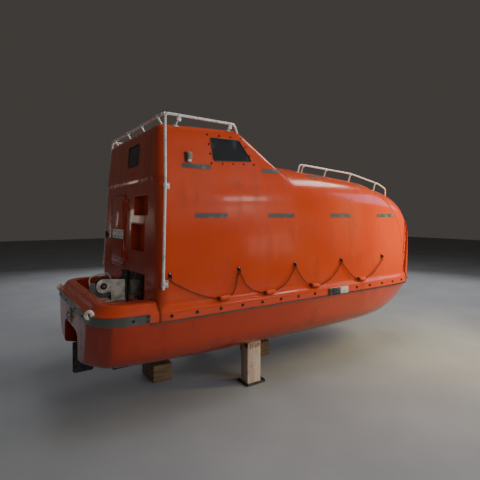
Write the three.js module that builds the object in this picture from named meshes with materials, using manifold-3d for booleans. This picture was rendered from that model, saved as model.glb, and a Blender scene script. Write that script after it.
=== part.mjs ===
// Totally enclosed rigid lifeboat on its yard stands, in millimetres.
// +X points to the bow, +Y to port, +Z up; the origin is on the floor under the middle of the boat.
import * as THREE from "three";
import { mergeVertices } from "three/addons/utils/BufferGeometryUtils.js";
import Module from "manifold-3d";

const wasm = await Module();
wasm.setup();

// Driving dimensions
const STERN = -2500;
const HALF_BEAM = 1100;
const FLANGE_LOW = 980;
const FLANGE_HIGH = 1070;
const GAP = 0.3;
const SHELL = 20;
const SIDES = [
  { word: "starboard", sign: -1 },
  { word: "port", sign: 1 },
];

// Colours of the real finishes
const orange = new THREE.MeshStandardMaterial({ color: 0xb8431c, roughness: 0.25, metalness: 0 });
const floatOrange = new THREE.MeshStandardMaterial({ color: 0xc8401a, roughness: 0.6, metalness: 0 });
const steel = new THREE.MeshStandardMaterial({ color: 0x9a9c98, roughness: 0.3, metalness: 1 });
const darkSteel = new THREE.MeshStandardMaterial({ color: 0x46484a, roughness: 0.5, metalness: 0.8 });
const glass = new THREE.MeshStandardMaterial({ color: 0x16181a, roughness: 0.1, metalness: 0 });
const rope = new THREE.MeshStandardMaterial({ color: 0x2c2622, roughness: 0.9, metalness: 0 });
const bronze = new THREE.MeshStandardMaterial({ color: 0x9a7136, roughness: 0.35, metalness: 1 });
const post = new THREE.MeshStandardMaterial({ color: 0x9c8878, roughness: 0.7, metalness: 0.2 });
const timber = new THREE.MeshStandardMaterial({ color: 0x7c6248, roughness: 0.85, metalness: 0 });

const boat = new THREE.Group();

// A geometry whose faces point outwards, with shared vertices merged
function outward(geometry) {
  const bare = geometry.index ? geometry.toNonIndexed() : geometry.clone();
  bare.deleteAttribute("normal");
  bare.deleteAttribute("uv");
  const merged = mergeVertices(bare, 1e-3);
  const place = merged.attributes.position;
  const index = Array.from(merged.index.array);
  const corner = [new THREE.Vector3(), new THREE.Vector3(), new THREE.Vector3()];
  let volume = 0;
  for (let i = 0; i < index.length; i += 3) {
    corner.forEach((v, k) => v.fromBufferAttribute(place, index[i + k]));
    volume += corner[0].dot(corner[1].cross(corner[2]));
  }
  if (volume < 0) {
    for (let i = 0; i < index.length; i += 3) [index[i + 1], index[i + 2]] = [index[i + 2], index[i + 1]];
  }
  merged.setIndex(index);
  return merged;
}

function solid(geometry) {
  const closed = outward(geometry);
  const vertProperties = new Float32Array(closed.attributes.position.array);
  const triVerts = new Uint32Array(closed.index.array);
  return new wasm.Manifold(new wasm.Mesh({ numProp: 3, vertProperties, triVerts }));
}

function join(...solids) {
  return solids.reduce((all, one) => all.add(one));
}

// The largest body of a shape, without the slivers that a cut leaves
function largest(shape) {
  return shape.decompose().sort((a, b) => b.volume() - a.volume())[0];
}

// Adds one named piece to the boat
function piece(name, shape, material) {
  const made = shape.getMesh();
  const geometry = new THREE.BufferGeometry();
  const vertices = new Float32Array(made.numVert * 3);
  for (let i = 0; i < made.numVert; i++) {
    const from = i * made.numProp;
    vertices.set(made.vertProperties.subarray(from, from + 3), i * 3);
  }
  geometry.setAttribute("position", new THREE.BufferAttribute(vertices, 3));
  geometry.setIndex(Array.from(made.triVerts));
  const mesh = new THREE.Mesh(geometry, material);
  mesh.name = name;
  boat.add(mesh);
}

// A closed solid through rings of [x, y, z] points, each end closed by a fan
function loft(rings) {
  const count = rings[0].length;
  const place = rings.flat(2);
  const index = [];
  rings.slice(1).forEach((_, r) => {
    for (let i = 0; i < count; i++) {
      const a = r * count + i;
      const b = r * count + ((i + 1) % count);
      index.push(a, b, b + count, a, b + count, a + count);
    }
  });
  [rings[0], rings.at(-1)].forEach((ring, end) => {
    const centre = place.length / 3;
    [0, 1, 2].forEach((k) => place.push(ring.reduce((sum, p) => sum + p[k], 0) / count));
    const first = end ? (rings.length - 1) * count : 0;
    for (let i = 0; i < count; i++) {
      const a = first + i;
      const b = first + ((i + 1) % count);
      index.push(...(end ? [centre, a, b] : [centre, b, a]));
    }
  });
  const geometry = new THREE.BufferGeometry();
  geometry.setAttribute("position", new THREE.Float32BufferAttribute(place, 3));
  geometry.setIndex(index);
  return solid(geometry);
}

function outline(points) {
  return new THREE.Shape(points.map(([a, b]) => new THREE.Vector2(a, b)));
}

// Slabs from an outline: in plan (x, y), in side view (x, z) and in end view (y, z)
function planSlab(points, low, high) {
  const geometry = new THREE.ExtrudeGeometry(outline(points), { depth: high - low, bevelEnabled: false });
  return solid(geometry.translate(0, 0, low));
}

function sideSlab(points, low, high) {
  const geometry = new THREE.ExtrudeGeometry(outline(points), { depth: high - low, bevelEnabled: false });
  return solid(geometry.rotateX(Math.PI / 2).translate(0, high, 0));
}

function endSlab(points, low, high) {
  const geometry = new THREE.ExtrudeGeometry(outline(points), { depth: high - low, bevelEnabled: false });
  const turn = new THREE.Matrix4().makeBasis(
    new THREE.Vector3(0, 1, 0),
    new THREE.Vector3(0, 0, 1),
    new THREE.Vector3(1, 0, 0),
  );
  return solid(geometry.applyMatrix4(turn).translate(low, 0, 0));
}

function box([x0, x1], [y0, y1], [z0, z1]) {
  return planSlab([[x0, y0], [x1, y0], [x1, y1], [x0, y1]], z0, z1);
}

// A round bar between two points
function rod(from, to, radius, sides = 12) {
  const a = new THREE.Vector3(...from);
  const b = new THREE.Vector3(...to);
  const geometry = new THREE.CylinderGeometry(radius, radius, a.distanceTo(b), sides);
  const along = new THREE.Vector3().subVectors(b, a).normalize();
  const turn = new THREE.Quaternion().setFromUnitVectors(new THREE.Vector3(0, 1, 0), along);
  const middle = a.add(b).multiplyScalar(0.5);
  return solid(geometry.applyQuaternion(turn).translate(middle.x, middle.y, middle.z));
}

function circle(radius, sides) {
  const corners = Array.from({ length: sides }, (_, i) => (2 * Math.PI * (i + 0.5)) / sides);
  return corners.map((a) => [radius * Math.cos(a), radius * Math.sin(a)]);
}

// A bent pipe or rope along a smooth curve through points
function bentTube(points, radius, sides, steps) {
  const path = new THREE.CatmullRomCurve3(points.map((p) => new THREE.Vector3(...p)), false, "centripetal");
  const section = outline(circle(radius, sides));
  return solid(new THREE.ExtrudeGeometry(section, { steps, extrudePath: path, bevelEnabled: false }));
}

// A pipe of straight runs with rounded corners: each inner point gets a bend of the given radius
function pipe(points, radius, bend, sides = 8) {
  const corners = points.map((p) => new THREE.Vector3(...p));
  const path = new THREE.CurvePath();
  let last = corners[0];
  for (let i = 1; i < corners.length - 1; i++) {
    const before = corners[i - 1].clone().sub(corners[i]).setLength(bend).add(corners[i]);
    const after = corners[i + 1].clone().sub(corners[i]).setLength(bend).add(corners[i]);
    path.add(new THREE.LineCurve3(last, before));
    path.add(new THREE.QuadraticBezierCurve3(before, corners[i], after));
    last = after;
  }
  path.add(new THREE.LineCurve3(last, corners.at(-1)));
  const rings = [];
  path.curves.forEach((curve, c) => {
    const steps = curve.isLineCurve3 ? 1 : 4;
    for (let s = c ? 1 : 0; s <= steps; s++) rings.push([curve.getPoint(s / steps), curve.getTangent(s / steps)]);
  });
  const up = new THREE.Vector3(0.31, 0.17, 0.93).normalize();
  return loft(
    rings.map(([middle, tangent]) => {
      const across = up.clone().cross(tangent).normalize();
      const other = tangent.clone().cross(across).normalize();
      return circle(radius, sides).map(([a, b]) => {
        const p = middle.clone().addScaledVector(across, a).addScaledVector(other, b);
        return [p.x, p.y, p.z];
      });
    }),
  );
}

// Points along a quadratic bend from a to c with its corner at b
function bend(a, b, c, steps) {
  return Array.from({ length: steps + 1 }, (_, i) => {
    const s = i / steps;
    return a.map((_, k) => (1 - s) * (1 - s) * a[k] + 2 * s * (1 - s) * b[k] + s * s * c[k]);
  });
}

// An outline of corners, each with its own radius
function roundedOutline(corners, steps = 4) {
  return corners.flatMap(([x, y, radius], i) => {
    const before = corners.at(i - 1);
    const after = corners[(i + 1) % corners.length];
    const cut = ([px, py]) => {
      const length = Math.hypot(px - x, py - y);
      return [x + ((px - x) * radius) / length, y + ((py - y) * radius) / length];
    };
    return radius ? bend(cut(before), [x, y], cut(after), steps) : [[x, y]];
  });
}

// The hull's sections from stern to bow: half breadth at the flange, keel line, and the bilge's corner
const STERN_CORNER = 300;
const HULL_SECTIONS = [
  // x, breadth, keel, bilgeY, bilgeZ
  [-2500, 760, 450, 690, 560],
  [-2420, 900, 441, 830, 546],
  [-2335, 1045, 427, 950, 538],
  [-2200, 1080, 405, 980, 530],
  [-1900, 1095, 365, 995, 518],
  [-1000, 1100, 315, 1000, 502],
  [100, 1100, 300, 1000, 500],
  [1100, 1100, 312, 985, 502],
  [1600, 1090, 340, 940, 512],
  [1900, 1075, 385, 870, 540],
  [2100, 1050, 460, 810, 600],
  [2250, 990, 575, 740, 695],
  [2380, 880, 735, 640, 812],
  [2450, 720, 850, 520, 890],
  [2500, 450, 940, 320, 950],
];
function hullRing([x, breadth, keel, bilgeY, bilgeZ]) {
  const flatEnd = [bilgeY * 0.7, keel + (bilgeZ - keel) * 0.7];
  const sideStart = [bilgeY + (breadth - bilgeY) * 0.5, bilgeZ + (FLANGE_LOW - bilgeZ) * 0.5];
  const half = [...bend(flatEnd, [bilgeY, bilgeZ], sideStart, 6), [breadth, FLANGE_LOW - GAP]];
  const starboard = half.map(([y, z]) => [x, -y, z]);
  return [...starboard.toReversed(), [x, 0, keel], ...half.map(([y, z]) => [x, y, z])];
}

const TUNNEL = { front: -2050, half: 380, roof: 800 };
const WELL = { aft: -1800, front: 1800, half: 860, floor: 620 };
const hull = loft(HULL_SECTIONS.map(hullRing))
  .subtract(
    endSlab(
      roundedOutline([
        [-TUNNEL.half, 100, 0],
        [TUNNEL.half, 100, 0],
        [TUNNEL.half, TUNNEL.roof, 120],
        [-TUNNEL.half, TUNNEL.roof, 120],
      ]),
      STERN - 50,
      TUNNEL.front,
    ),
  )
  .subtract(
    planSlab(
      roundedOutline([
        [WELL.aft, -WELL.half, 150],
        [WELL.front, -WELL.half, 250],
        [WELL.front, WELL.half, 250],
        [WELL.aft, WELL.half, 150],
      ]),
      WELL.floor,
      FLANGE_HIGH,
    ),
  );
piece("hull", hull, orange);

// Keel with its skeg and the bearing of the propeller shaft
const KEEL = { half: 35, bottom: 200, aft: -2050, front: 1750 };
const SHAFT = { height: 420, radius: 18 };
const keel = sideSlab(
  [
    [KEEL.aft, KEEL.bottom],
    [KEEL.front - 500, KEEL.bottom],
    [KEEL.front, KEEL.bottom + 180],
    [KEEL.front, 700],
    [KEEL.aft + GAP, 700],
  ],
  -KEEL.half,
  KEEL.half,
).subtract(hull.translate([0, 0, -GAP]));
piece("keel", largest(keel), darkSteel);

// The canopy's sections from the aft wall to the bow
const CANOPY_SECTIONS = [
  // x, base, foot, cheek, cheekZ, roofY, roofZ, crownZ, lean
  [-1900, 1098, 985, 930, 2060, 560, 2560, 2600, 0.028],
  [-1880, 1098, 1030, 975, 2060, 590, 2590, 2640, 0.024],
  [-1835, 1099, 1053, 996, 2070, 610, 2610, 2670, 0.014],
  [-1780, 1100, 1060, 1000, 2080, 620, 2620, 2680, 0],
  [-300, 1100, 1060, 1000, 2120, 620, 2638, 2700, 0],
  [350, 1100, 1060, 1000, 2110, 620, 2598, 2662, 0],
  [1200, 1100, 1058, 995, 2070, 620, 2530, 2592, 0],
  [1700, 1087, 1045, 980, 2000, 600, 2462, 2525, 0],
  [1900, 1075, 1032, 975, 1940, 590, 2425, 2486, 0],
  [2100, 1050, 1018, 975, 1860, 575, 2370, 2430, 0],
  [2250, 990, 985, 968, 1780, 550, 2300, 2360, 0],
  [2380, 880, 905, 925, 1690, 490, 2170, 2230, 0],
  [2450, 720, 780, 820, 1620, 410, 2030, 2085, 0],
  [2500, 450, 540, 600, 1500, 290, 1850, 1890, 0],
];
function canopyRing([x, base, foot, cheek, cheekZ, roofY, roofZ, crownZ, lean], inset, low) {
  const corner = [cheek - 15, roofZ - 40];
  const half = [
    [base - inset, low],
    [base - inset, FLANGE_HIGH],
    [foot - inset, FLANGE_HIGH + 45],
    [(foot + cheek) / 2 + 8 - inset, 1600],
    ...bend([cheek, cheekZ], corner, [roofY, roofZ], 6).map(([y, z]) => [y - inset, z - inset * 0.8]),
  ];
  const leaned = (z) => x + lean * Math.max(0, z - FLANGE_HIGH);
  const starboard = half.map(([y, z]) => [leaned(z), -y, z]);
  const port = half.map(([y, z]) => [leaned(z), y, z]).toReversed();
  return [...starboard, [leaned(crownZ), 0, crownZ - inset], ...port];
}
const fullForm = (inset, low) => loft(CANOPY_SECTIONS.map((section) => canopyRing(section, inset, low)));

// The raked joint where the canopy meets the bow moulding, and the crease of the canopy's bow shoulders
const RAKE = { x: 2160, slope: 190 / 820 };
const rakeX = (z) => RAKE.x + (z - FLANGE_LOW) * RAKE.slope;
function behindRake(offset) {
  const low = 900;
  const high = 2800;
  return sideSlab([[-2600, low], [rakeX(low) + offset, low], [rakeX(high) + offset, high], [-2600, high]], -1300, 1300);
}
const CREASE = [[2185, 900], [2160, 1200], [2120, 1600], [2070, 1850], [1940, 2080], [1780, 2250], [1560, 2380], [1350, 2800]];
const behindCrease = sideSlab([[-2600, 900], ...CREASE, [-2600, 2800]], -1300, 1300);
const SHOULDER_STEP = 55;

// The steering tower's plan rings from inside the canopy up to its roof
const SCREEN = { x: -395, z: 2640, run: 530 / 360 };
const TOWER_LEVELS = [
  // z, aft, aftHalf, frontHalf, corner
  [2200, -1835, 925, 905, 120],
  [2330, -1845, 938, 925, 120],
  [2400, -1874, 966, 958, 120],
  [2500, -1868, 946, 944, 110],
  [2900, -1838, 890, 890, 90],
  [2945, -1828, 872, 872, 80],
  [2965, -1795, 835, 835, 70],
];
const ROOF_TILT = 0.038;
function towerRing([z, aft, aftHalf, frontHalf, corner], inset, drop) {
  const front = SCREEN.x + (SCREEN.z - z) * SCREEN.run - inset * 1.6;
  const ring = roundedOutline(
    [
      [aft + inset, -(aftHalf - inset), corner - inset],
      [front, -(frontHalf - inset), corner],
      [front, frontHalf - inset, corner],
      [aft + inset, aftHalf - inset, corner - inset],
    ],
    4,
  );
  const tilt = z > 2600 ? ROOF_TILT : 0;
  return ring.map(([x, y]) => [x, y, z - drop + tilt * (x + 1330)]);
}
function towerForm(inset) {
  const drop = (level, i) => (level[0] > 2600 ? inset : i ? 0 : 2 * inset);
  return loft(TOWER_LEVELS.map((level, i) => towerRing(level, inset, drop(level, i))));
}

// Window outlines: side windows in (x, z), the others in (y, z)
const SIDE_WINDOW = [[-1239, 2848, 25], [-866, 2854, 25], [-711, 2628, 25], [-1210, 2600, 25]];
const AFT_WINDOW = [[-355, 2565, 25], [0, 2565, 25], [0, 2800, 25], [-355, 2800, 25]];
const SCREEN_WINDOW = [[60, 2700, 25], [640, 2700, 25], [690, 2900, 25], [60, 2900, 25]];
const shrink = (corners, by) => {
  const mid = [0, 1].map((k) => corners.reduce((sum, c) => sum + c[k], 0) / corners.length);
  return corners.map(([a, b, radius]) => [a - by * Math.sign(a - mid[0]), b - by * Math.sign(b - mid[1]), radius]);
};
const mirrored = (corners) => corners.map(([y, z, radius]) => [-y, z, radius]).toReversed();
const WINDOWS = [
  ...SIDES.map(({ word, sign }) => ({
    name: "tower_window_" + word,
    cut: (by) => {
      const ends = [700 * sign, 1100 * sign].sort((a, b) => a - b);
      return sideSlab(roundedOutline(shrink(SIDE_WINDOW, by)), ...ends);
    },
  })),
  ...SIDES.map(({ word, sign }) => ({
    name: "windscreen_" + word,
    cut: (by) => {
      const corners = sign > 0 ? SCREEN_WINDOW : mirrored(SCREEN_WINDOW);
      return endSlab(roundedOutline(shrink(corners, by)), -1150, 0);
    },
  })),
  { name: "aft_window", cut: (by) => endSlab(roundedOutline(shrink(AFT_WINDOW, by)), -1950, -1750) },
];

// Doors and hatches: each opening, its leaf, and the lugs of its hinge on the canopy
const DOOR = { y: [40, 640], z: [1400, 2250] };
const ROOF_HATCH = { x: [-1480, -1020], half: 240 };
const BOW_WELL = { x: 1930, half: 340, floor: 1200 };
const BOW_HATCH = { half: 250, z: [1560, 2060] };
const CLEAR = 6;
const HINGE = { out: 16, radius: 10, lug: 40 };

// The side lifeline: an eye on the canopy at each crest, the rope hanging in bights between them
const EYES = [-1775, -965, -150, 670, 1550];
const LIFELINE = [
  [-1775, 1066, 1366], [-1748, 1069, 1342], [-1680, 1074, 1300], [-1560, 1082, 1235], [-1400, 1090, 1168],
  [-1250, 1094, 1134], [-1170, 1095, 1128], [-1095, 1094, 1142], [-1030, 1084, 1215], [-994, 1071, 1330],
  [-965, 1066, 1372], [-937, 1071, 1334], [-890, 1081, 1240], [-790, 1090, 1165], [-650, 1094, 1127],
  [-560, 1095, 1121], [-470, 1094, 1133], [-330, 1088, 1190], [-225, 1078, 1285], [-178, 1071, 1345],
  [-150, 1066, 1372], [-122, 1072, 1338], [-60, 1082, 1240], [50, 1091, 1155], [160, 1095, 1124],
  [260, 1094, 1129], [410, 1090, 1170], [540, 1081, 1248], [640, 1071, 1345], [670, 1066, 1372],
  [699, 1071, 1342], [790, 1082, 1235], [910, 1091, 1152], [1050, 1095, 1124], [1150, 1092, 1132],
  [1300, 1084, 1188], [1430, 1075, 1270], [1520, 1067, 1342], [1550, 1062, 1366],
];
const ROPE = { radius: 5.5, sides: 8, steps: 64 };
const FLOATS = [-1170, -560, 160, 1050];
const lifeline = (sign, grow) => {
  const points = LIFELINE.map(([x, y, z]) => [x, y * sign, z]);
  return bentTube(points, ROPE.radius + grow, ROPE.sides, ROPE.steps);
};

// Leaves of doors and hatches, cut from the same walls
function hingeBars(from, to, spans) {
  const at = (s) => from.map((v, k) => v + (to[k] - v) * s);
  return spans.map(([a, b]) => rod(at(a), at(b), HINGE.radius, 12));
}

const outerForm = (inset) => {
  const low = inset ? FLANGE_LOW - 60 : FLANGE_LOW;
  const full = fullForm(inset, low).intersect(behindCrease.translate([-inset * 1.5, 0, 0]));
  const stepped = fullForm(inset + SHOULDER_STEP, low).intersect(behindRake(-GAP - inset));
  return join(full.intersect(behindRake(-GAP - inset)), stepped);
};
const well = (grow) =>
  box([BOW_WELL.x - grow, 2700], [-BOW_WELL.half - grow, BOW_WELL.half + grow], [BOW_WELL.floor - grow, 2900]);
const wallX = (z) => -1900 + 0.028 * (z - FLANGE_HIGH);
const aftWall = sideSlab(
  [
    [-2700, 700],
    [-1900 + SHELL, 700],
    [-1900 + SHELL, FLANGE_HIGH],
    [wallX(2900) + SHELL, 2900],
    [-2700, 2900],
  ],
  -1300,
  1300,
);
const inner = outerForm(SHELL).subtract(aftWall).subtract(well(SHELL));
const towerOuter = towerForm(0);
let canopy = join(outerForm(0), towerOuter).subtract(well(0)).subtract(inner).subtract(towerForm(SHELL));
WINDOWS.forEach(({ name, cut }) => {
  canopy = canopy.subtract(cut(0));
  piece(name, towerForm(5).subtract(towerForm(13)).intersect(cut(0.4)), glass);
});

// Aft door
const doorHole = (by) =>
  endSlab(
    roundedOutline([
      [DOOR.y[0] + by, DOOR.z[0] + by, 90 - by],
      [DOOR.y[1] - by, DOOR.z[0] + by, 90 - by],
      [DOOR.y[1] - by, DOOR.z[1] - by, 90 - by],
      [DOOR.y[0] + by, DOOR.z[1] - by, 90 - by],
    ]),
    -1990,
    -1750,
  );
const wallSlab = (from, to) =>
  sideSlab(
    [
      [wallX(1200) + from, 1200],
      [wallX(1200) + to, 1200],
      [wallX(2400) + to, 2400],
      [wallX(2400) + from, 2400],
    ],
    -900,
    900,
  );
const doorAxis = (z) => [wallX(z) - HINGE.out, DOOR.y[0] - 14, z];
const DOOR_KNUCKLES = [
  [1500, 1560],
  [2090, 2150],
];
canopy = canopy.subtract(doorHole(0));
let door = wallSlab(-10, SHELL).intersect(doorHole(CLEAR));
DOOR_KNUCKLES.forEach(([low, high]) => {
  door = join(
    door,
    rod(doorAxis(low), doorAxis(high), HINGE.radius),
    wallSlab(-14, -4).intersect(box([-2000, -1800], [DOOR.y[0] - 14, DOOR.y[0] + 60], [low, high])),
  );
  [[low - HINGE.lug, low - 0.4], [high + 0.4, high + HINGE.lug]].forEach(([a, b]) => {
    canopy = join(
      canopy,
      rod(doorAxis(a), doorAxis(b), HINGE.radius),
      wallSlab(-22, 4).intersect(box([-2000, -1800], [DOOR.y[0] - 24, DOOR.y[0] - 6], [a, b])),
    );
  });
});
// The door's handle bar with its two feet
const handleY = DOOR.y[1] - 90;
door = join(
  door,
  rod([wallX(1800) - 45, handleY, 1720], [wallX(1800) - 45, handleY, 1880], 9),
  rod([wallX(1800) - 45, handleY, 1740], [wallX(1800), handleY, 1740], 8),
  rod([wallX(1800) - 45, handleY, 1860], [wallX(1800), handleY, 1860], 8),
);
piece("aft_door", door, orange);

// Steps pressed into the aft wall on the starboard half
const STEPS = [
  // y from, y to, top z, depth
  [-620, -160, 1910, 300],
  [-700, -255, 2220, 220],
];
STEPS.forEach(([y0, y1, top, tall]) => {
  canopy = join(canopy, wallSlab(5, 110).intersect(box([-2000, -1700], [y0 - 20, y1 + 20], [top - tall - 20, top + 20])));
  canopy = canopy.subtract(wallSlab(-60, 90).intersect(box([-2000, -1700], [y0, y1], [top - tall, top])));
});

// Roof hatch on the steering tower
const roofZ = (x) => 2965 + ROOF_TILT * (x + 1330);
const roofSlab = (from, to) =>
  sideSlab(
    [
      [-1750, roofZ(-1750) + from],
      [-850, roofZ(-850) + from],
      [-850, roofZ(-850) + to],
      [-1750, roofZ(-1750) + to],
    ],
    -700,
    700,
  );
const hatchPlan = (by) => {
  const [x0, x1] = ROOF_HATCH.x;
  const half = ROOF_HATCH.half;
  const corners = [[x0 + by, -half + by], [x1 - by, -half + by], [x1 - by, half - by], [x0 + by, half - by]];
  return planSlab(roundedOutline(corners.map(([x, y]) => [x, y, 60 - by])), 2800, 3100);
};
canopy = canopy.subtract(hatchPlan(0));
let roofHatch = roofSlab(-SHELL, 18).intersect(hatchPlan(CLEAR));
const roofAxisX = ROOF_HATCH.x[1] + 16;
const roofAxisZ = roofZ(roofAxisX) + HINGE.out;
[-150, 150].forEach((y) => {
  roofHatch = join(
    roofHatch,
    rod([roofAxisX, y - 30, roofAxisZ], [roofAxisX, y + 30, roofAxisZ], HINGE.radius),
    box([roofAxisX - 60, roofAxisX], [y - 30, y + 30], [roofAxisZ - 4, roofAxisZ + 6]),
  );
  [[y - 60, y - 30.4], [y + 30.4, y + 60]].forEach(([a, b]) => {
    canopy = join(
      canopy,
      rod([roofAxisX, a, roofAxisZ], [roofAxisX, b, roofAxisZ], HINGE.radius),
      box([roofAxisX - 8, roofAxisX + 9], [a, b], [roofAxisZ - 30, roofAxisZ]),
    );
  });
});
piece("roof_hatch", roofHatch, orange);

// Bow hatch in the wall of the bow well, hung from its top edge
const bowHole = (by) => {
  const [z0, z1] = BOW_HATCH.z;
  const half = BOW_HATCH.half;
  const corners = [[-half + by, z0 + by], [half - by, z0 + by], [half - by, z1 - by], [-half + by, z1 - by]];
  return endSlab(roundedOutline(corners.map(([y, z]) => [y, z, 70 - by])), BOW_WELL.x - 80, BOW_WELL.x + 80);
};
canopy = canopy.subtract(bowHole(0));
let bowHatch = box([BOW_WELL.x - SHELL, BOW_WELL.x + 10], [-400, 400], [1300, 2100]).intersect(bowHole(CLEAR));
const bowAxis = { x: BOW_WELL.x + HINGE.out, z: BOW_HATCH.z[1] + 16 };
[-150, 150].forEach((y) => {
  bowHatch = join(
    bowHatch,
    rod([bowAxis.x, y - 30, bowAxis.z], [bowAxis.x, y + 30, bowAxis.z], HINGE.radius),
    box([bowAxis.x - 10, bowAxis.x + 2], [y - 30, y + 30], [bowAxis.z - 60, bowAxis.z]),
  );
  [[y - 60, y - 30.4], [y + 30.4, y + 60]].forEach(([a, b]) => {
    canopy = join(
      canopy,
      rod([bowAxis.x, a, bowAxis.z], [bowAxis.x, b, bowAxis.z], HINGE.radius),
      box([BOW_WELL.x - 4, bowAxis.x], [a, b], [bowAxis.z - 8, bowAxis.z + 9]),
    );
  });
});
piece("bow_hatch", bowHatch, orange);

// The lifeline's eyes stand on the canopy's sides, and the ropes hang just under them
function crest(x) {
  const vertices = lifeline(1, 0).getMesh().vertProperties;
  let high = 0;
  for (let i = 0; i < vertices.length; i += 3) {
    if (Math.abs(vertices[i] - x) < 60) high = Math.max(high, vertices[i + 2]);
  }
  return high;
}
SIDES.forEach(({ sign }) => {
  EYES.forEach((x) => {
    const ends = [1030 * sign, 1082 * sign].sort((m, n) => m - n);
    const low = crest(x) + GAP;
    canopy = join(canopy, box([x - 13, x + 13], ends, [low, low + 26]));
  });
});
canopy = largest(canopy);

// The canopy's shell in its three mouldings, each joined to the next by a butt joint
const TOWER_JOINT = { front: -280, low: 2450 };
const BOW_JOINT = 1700;
const towerPart = (grow) => box([-2100, TOWER_JOINT.front + grow], [-1300, 1300], [TOWER_JOINT.low - grow, 3200]);
const bowPart = (grow) => box([BOW_JOINT - grow, 2700], [-1300, 1300], [800, 3200]);
piece("canopy", largest(canopy.subtract(towerPart(GAP)).subtract(bowPart(GAP))), orange);
piece("steering_tower", largest(canopy.intersect(towerPart(0))), orange);
piece("canopy_bow", largest(canopy.intersect(bowPart(0))), orange);
SIDES.forEach(({ word, sign }) => {
  const grown = lifeline(sign, 0.9);
  piece("lifeline_" + word, lifeline(sign, 0), rope);
  FLOATS.forEach((x, i) => {
    const at = LIFELINE.findIndex((p) => p[0] === x);
    const [before, here, after] = [at - 1, at, at + 1].map((k) => new THREE.Vector3(...LIFELINE[k]));
    [before, here, after].forEach((v) => (v.y *= sign));
    const along = after.sub(before).setLength(70);
    const profile = [[0, -70], [17, -70], [27, -48], [27, 48], [17, 70], [0, 70]];
    const body = new THREE.LatheGeometry(profile.map(([r, h]) => new THREE.Vector2(r, h)), 12);
    const turn = new THREE.Quaternion().setFromUnitVectors(new THREE.Vector3(0, 1, 0), along.normalize());
    body.applyQuaternion(turn).translate(here.x, here.y, here.z);
    piece("lifeline_float_" + word + "_" + (i + 1), solid(body).subtract(grown), floatOrange);
  });
});

// The hull's bow moulding ahead of the raked joint, with the well of the forward hook
const bowMoulding = fullForm(0, FLANGE_LOW)
  .intersect(box([1900, 2700], [-1300, 1300], [FLANGE_LOW, 2170]))
  .subtract(behindRake(0))
  .subtract(well(0));
piece("bow_moulding", bowMoulding, orange);

// Aft deck: a low coaming round a sunk floor, on which the aft hook stands
const DECK = { top: 1160, slope: 90, floor: 1010, floorAft: -2320, floorHalf: 850 };
const sternPlan = (inset) => {
  const side = HALF_BEAM - 5 - inset;
  const corner = STERN_CORNER + 60 - inset;
  return roundedOutline(
    [
      [STERN + inset, -side + 15, corner],
      [-1900 - GAP, -side, 0],
      [-1900 - GAP, side, 0],
      [STERN + inset, side - 15, corner],
    ],
    6,
  );
};
const DECK_LEVELS = [
  // z, inset
  [FLANGE_LOW, 0],
  [FLANGE_HIGH, 0],
  [FLANGE_HIGH + 12, 22],
  [DECK.top - 12, DECK.slope - 8],
  [DECK.top, DECK.slope + 6],
];
const deck = loft(DECK_LEVELS.map(([z, inset]) => sternPlan(inset).map(([x, y]) => [x, y, z]))).subtract(
  planSlab(
    roundedOutline([
      [DECK.floorAft, -DECK.floorHalf, 240],
      [-1800, -DECK.floorHalf, 0],
      [-1800, DECK.floorHalf, 0],
      [DECK.floorAft, DECK.floorHalf, 240],
    ]),
    DECK.floor,
    1300,
  ),
);
piece("aft_deck", deck, orange);

// A flat bar that follows the flange's edge in plan: out from, out to, low, high
const SHEER = HULL_SECTIONS.map(([x, breadth]) => [x, breadth]).toReversed();
function edgeBar(points, [inside, outside], [low, high]) {
  const rings = points.map(([x, y], i) => {
    const [ax, ay] = points[Math.max(0, i - 1)];
    const [bx, by] = points[Math.min(points.length - 1, i + 1)];
    const length = Math.hypot(bx - ax, by - ay);
    const [nx, ny] = [(by - ay) / length, -(bx - ax) / length];
    const at = (out, z) => [x + nx * out, y + ny * out, z];
    return [at(inside, low), at(outside, low), at(outside, high), at(inside, high)];
  });
  return loft(rings);
}
const RAIL = { aft: -1985, front: 2140, low: 966, high: FLANGE_LOW - 2 * GAP };
SIDES.forEach(({ word, sign }) => {
  const inside = SHEER.filter(([x]) => x > RAIL.aft + 20 && x < RAIL.front - 20);
  const run = [[RAIL.front, 1036], ...inside, [RAIL.aft, 1093]].map(([x, y]) => [x, y * sign]);
  const bar = edgeBar(sign > 0 ? run : run.toReversed(), [-6, 13], [RAIL.low, RAIL.high]);
  piece("rub_rail_" + word, largest(bar.subtract(hull.translate([0, GAP * sign, 0]))), steel);
});

// Stainless band round the stern on the flange
const BAND = { front: -1990, thick: 5 };
const bandFront = [BAND.front, HALF_BEAM - 5 + (15 * (BAND.front + 1900)) / (-1900 - STERN)];
const portBand = [bandFront, ...sternPlan(0).filter(([x, y]) => x < -2000 && y > 0)];
const bandRun = [...portBand, ...portBand.toReversed().map(([x, y]) => [x, -y])];
piece("stern_band", edgeBar(bandRun, [GAP, GAP + BAND.thick], [FLANGE_LOW + 4, FLANGE_HIGH]), steel);

// Everything that is seated on the moulded body keeps the small gap to it
const moulded = join(outerForm(0), towerOuter);
function seated(shape, carrier, ...shifts) {
  return largest(shifts.reduce((left, shift) => left.subtract(carrier.translate(shift)), shape));
}

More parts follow.
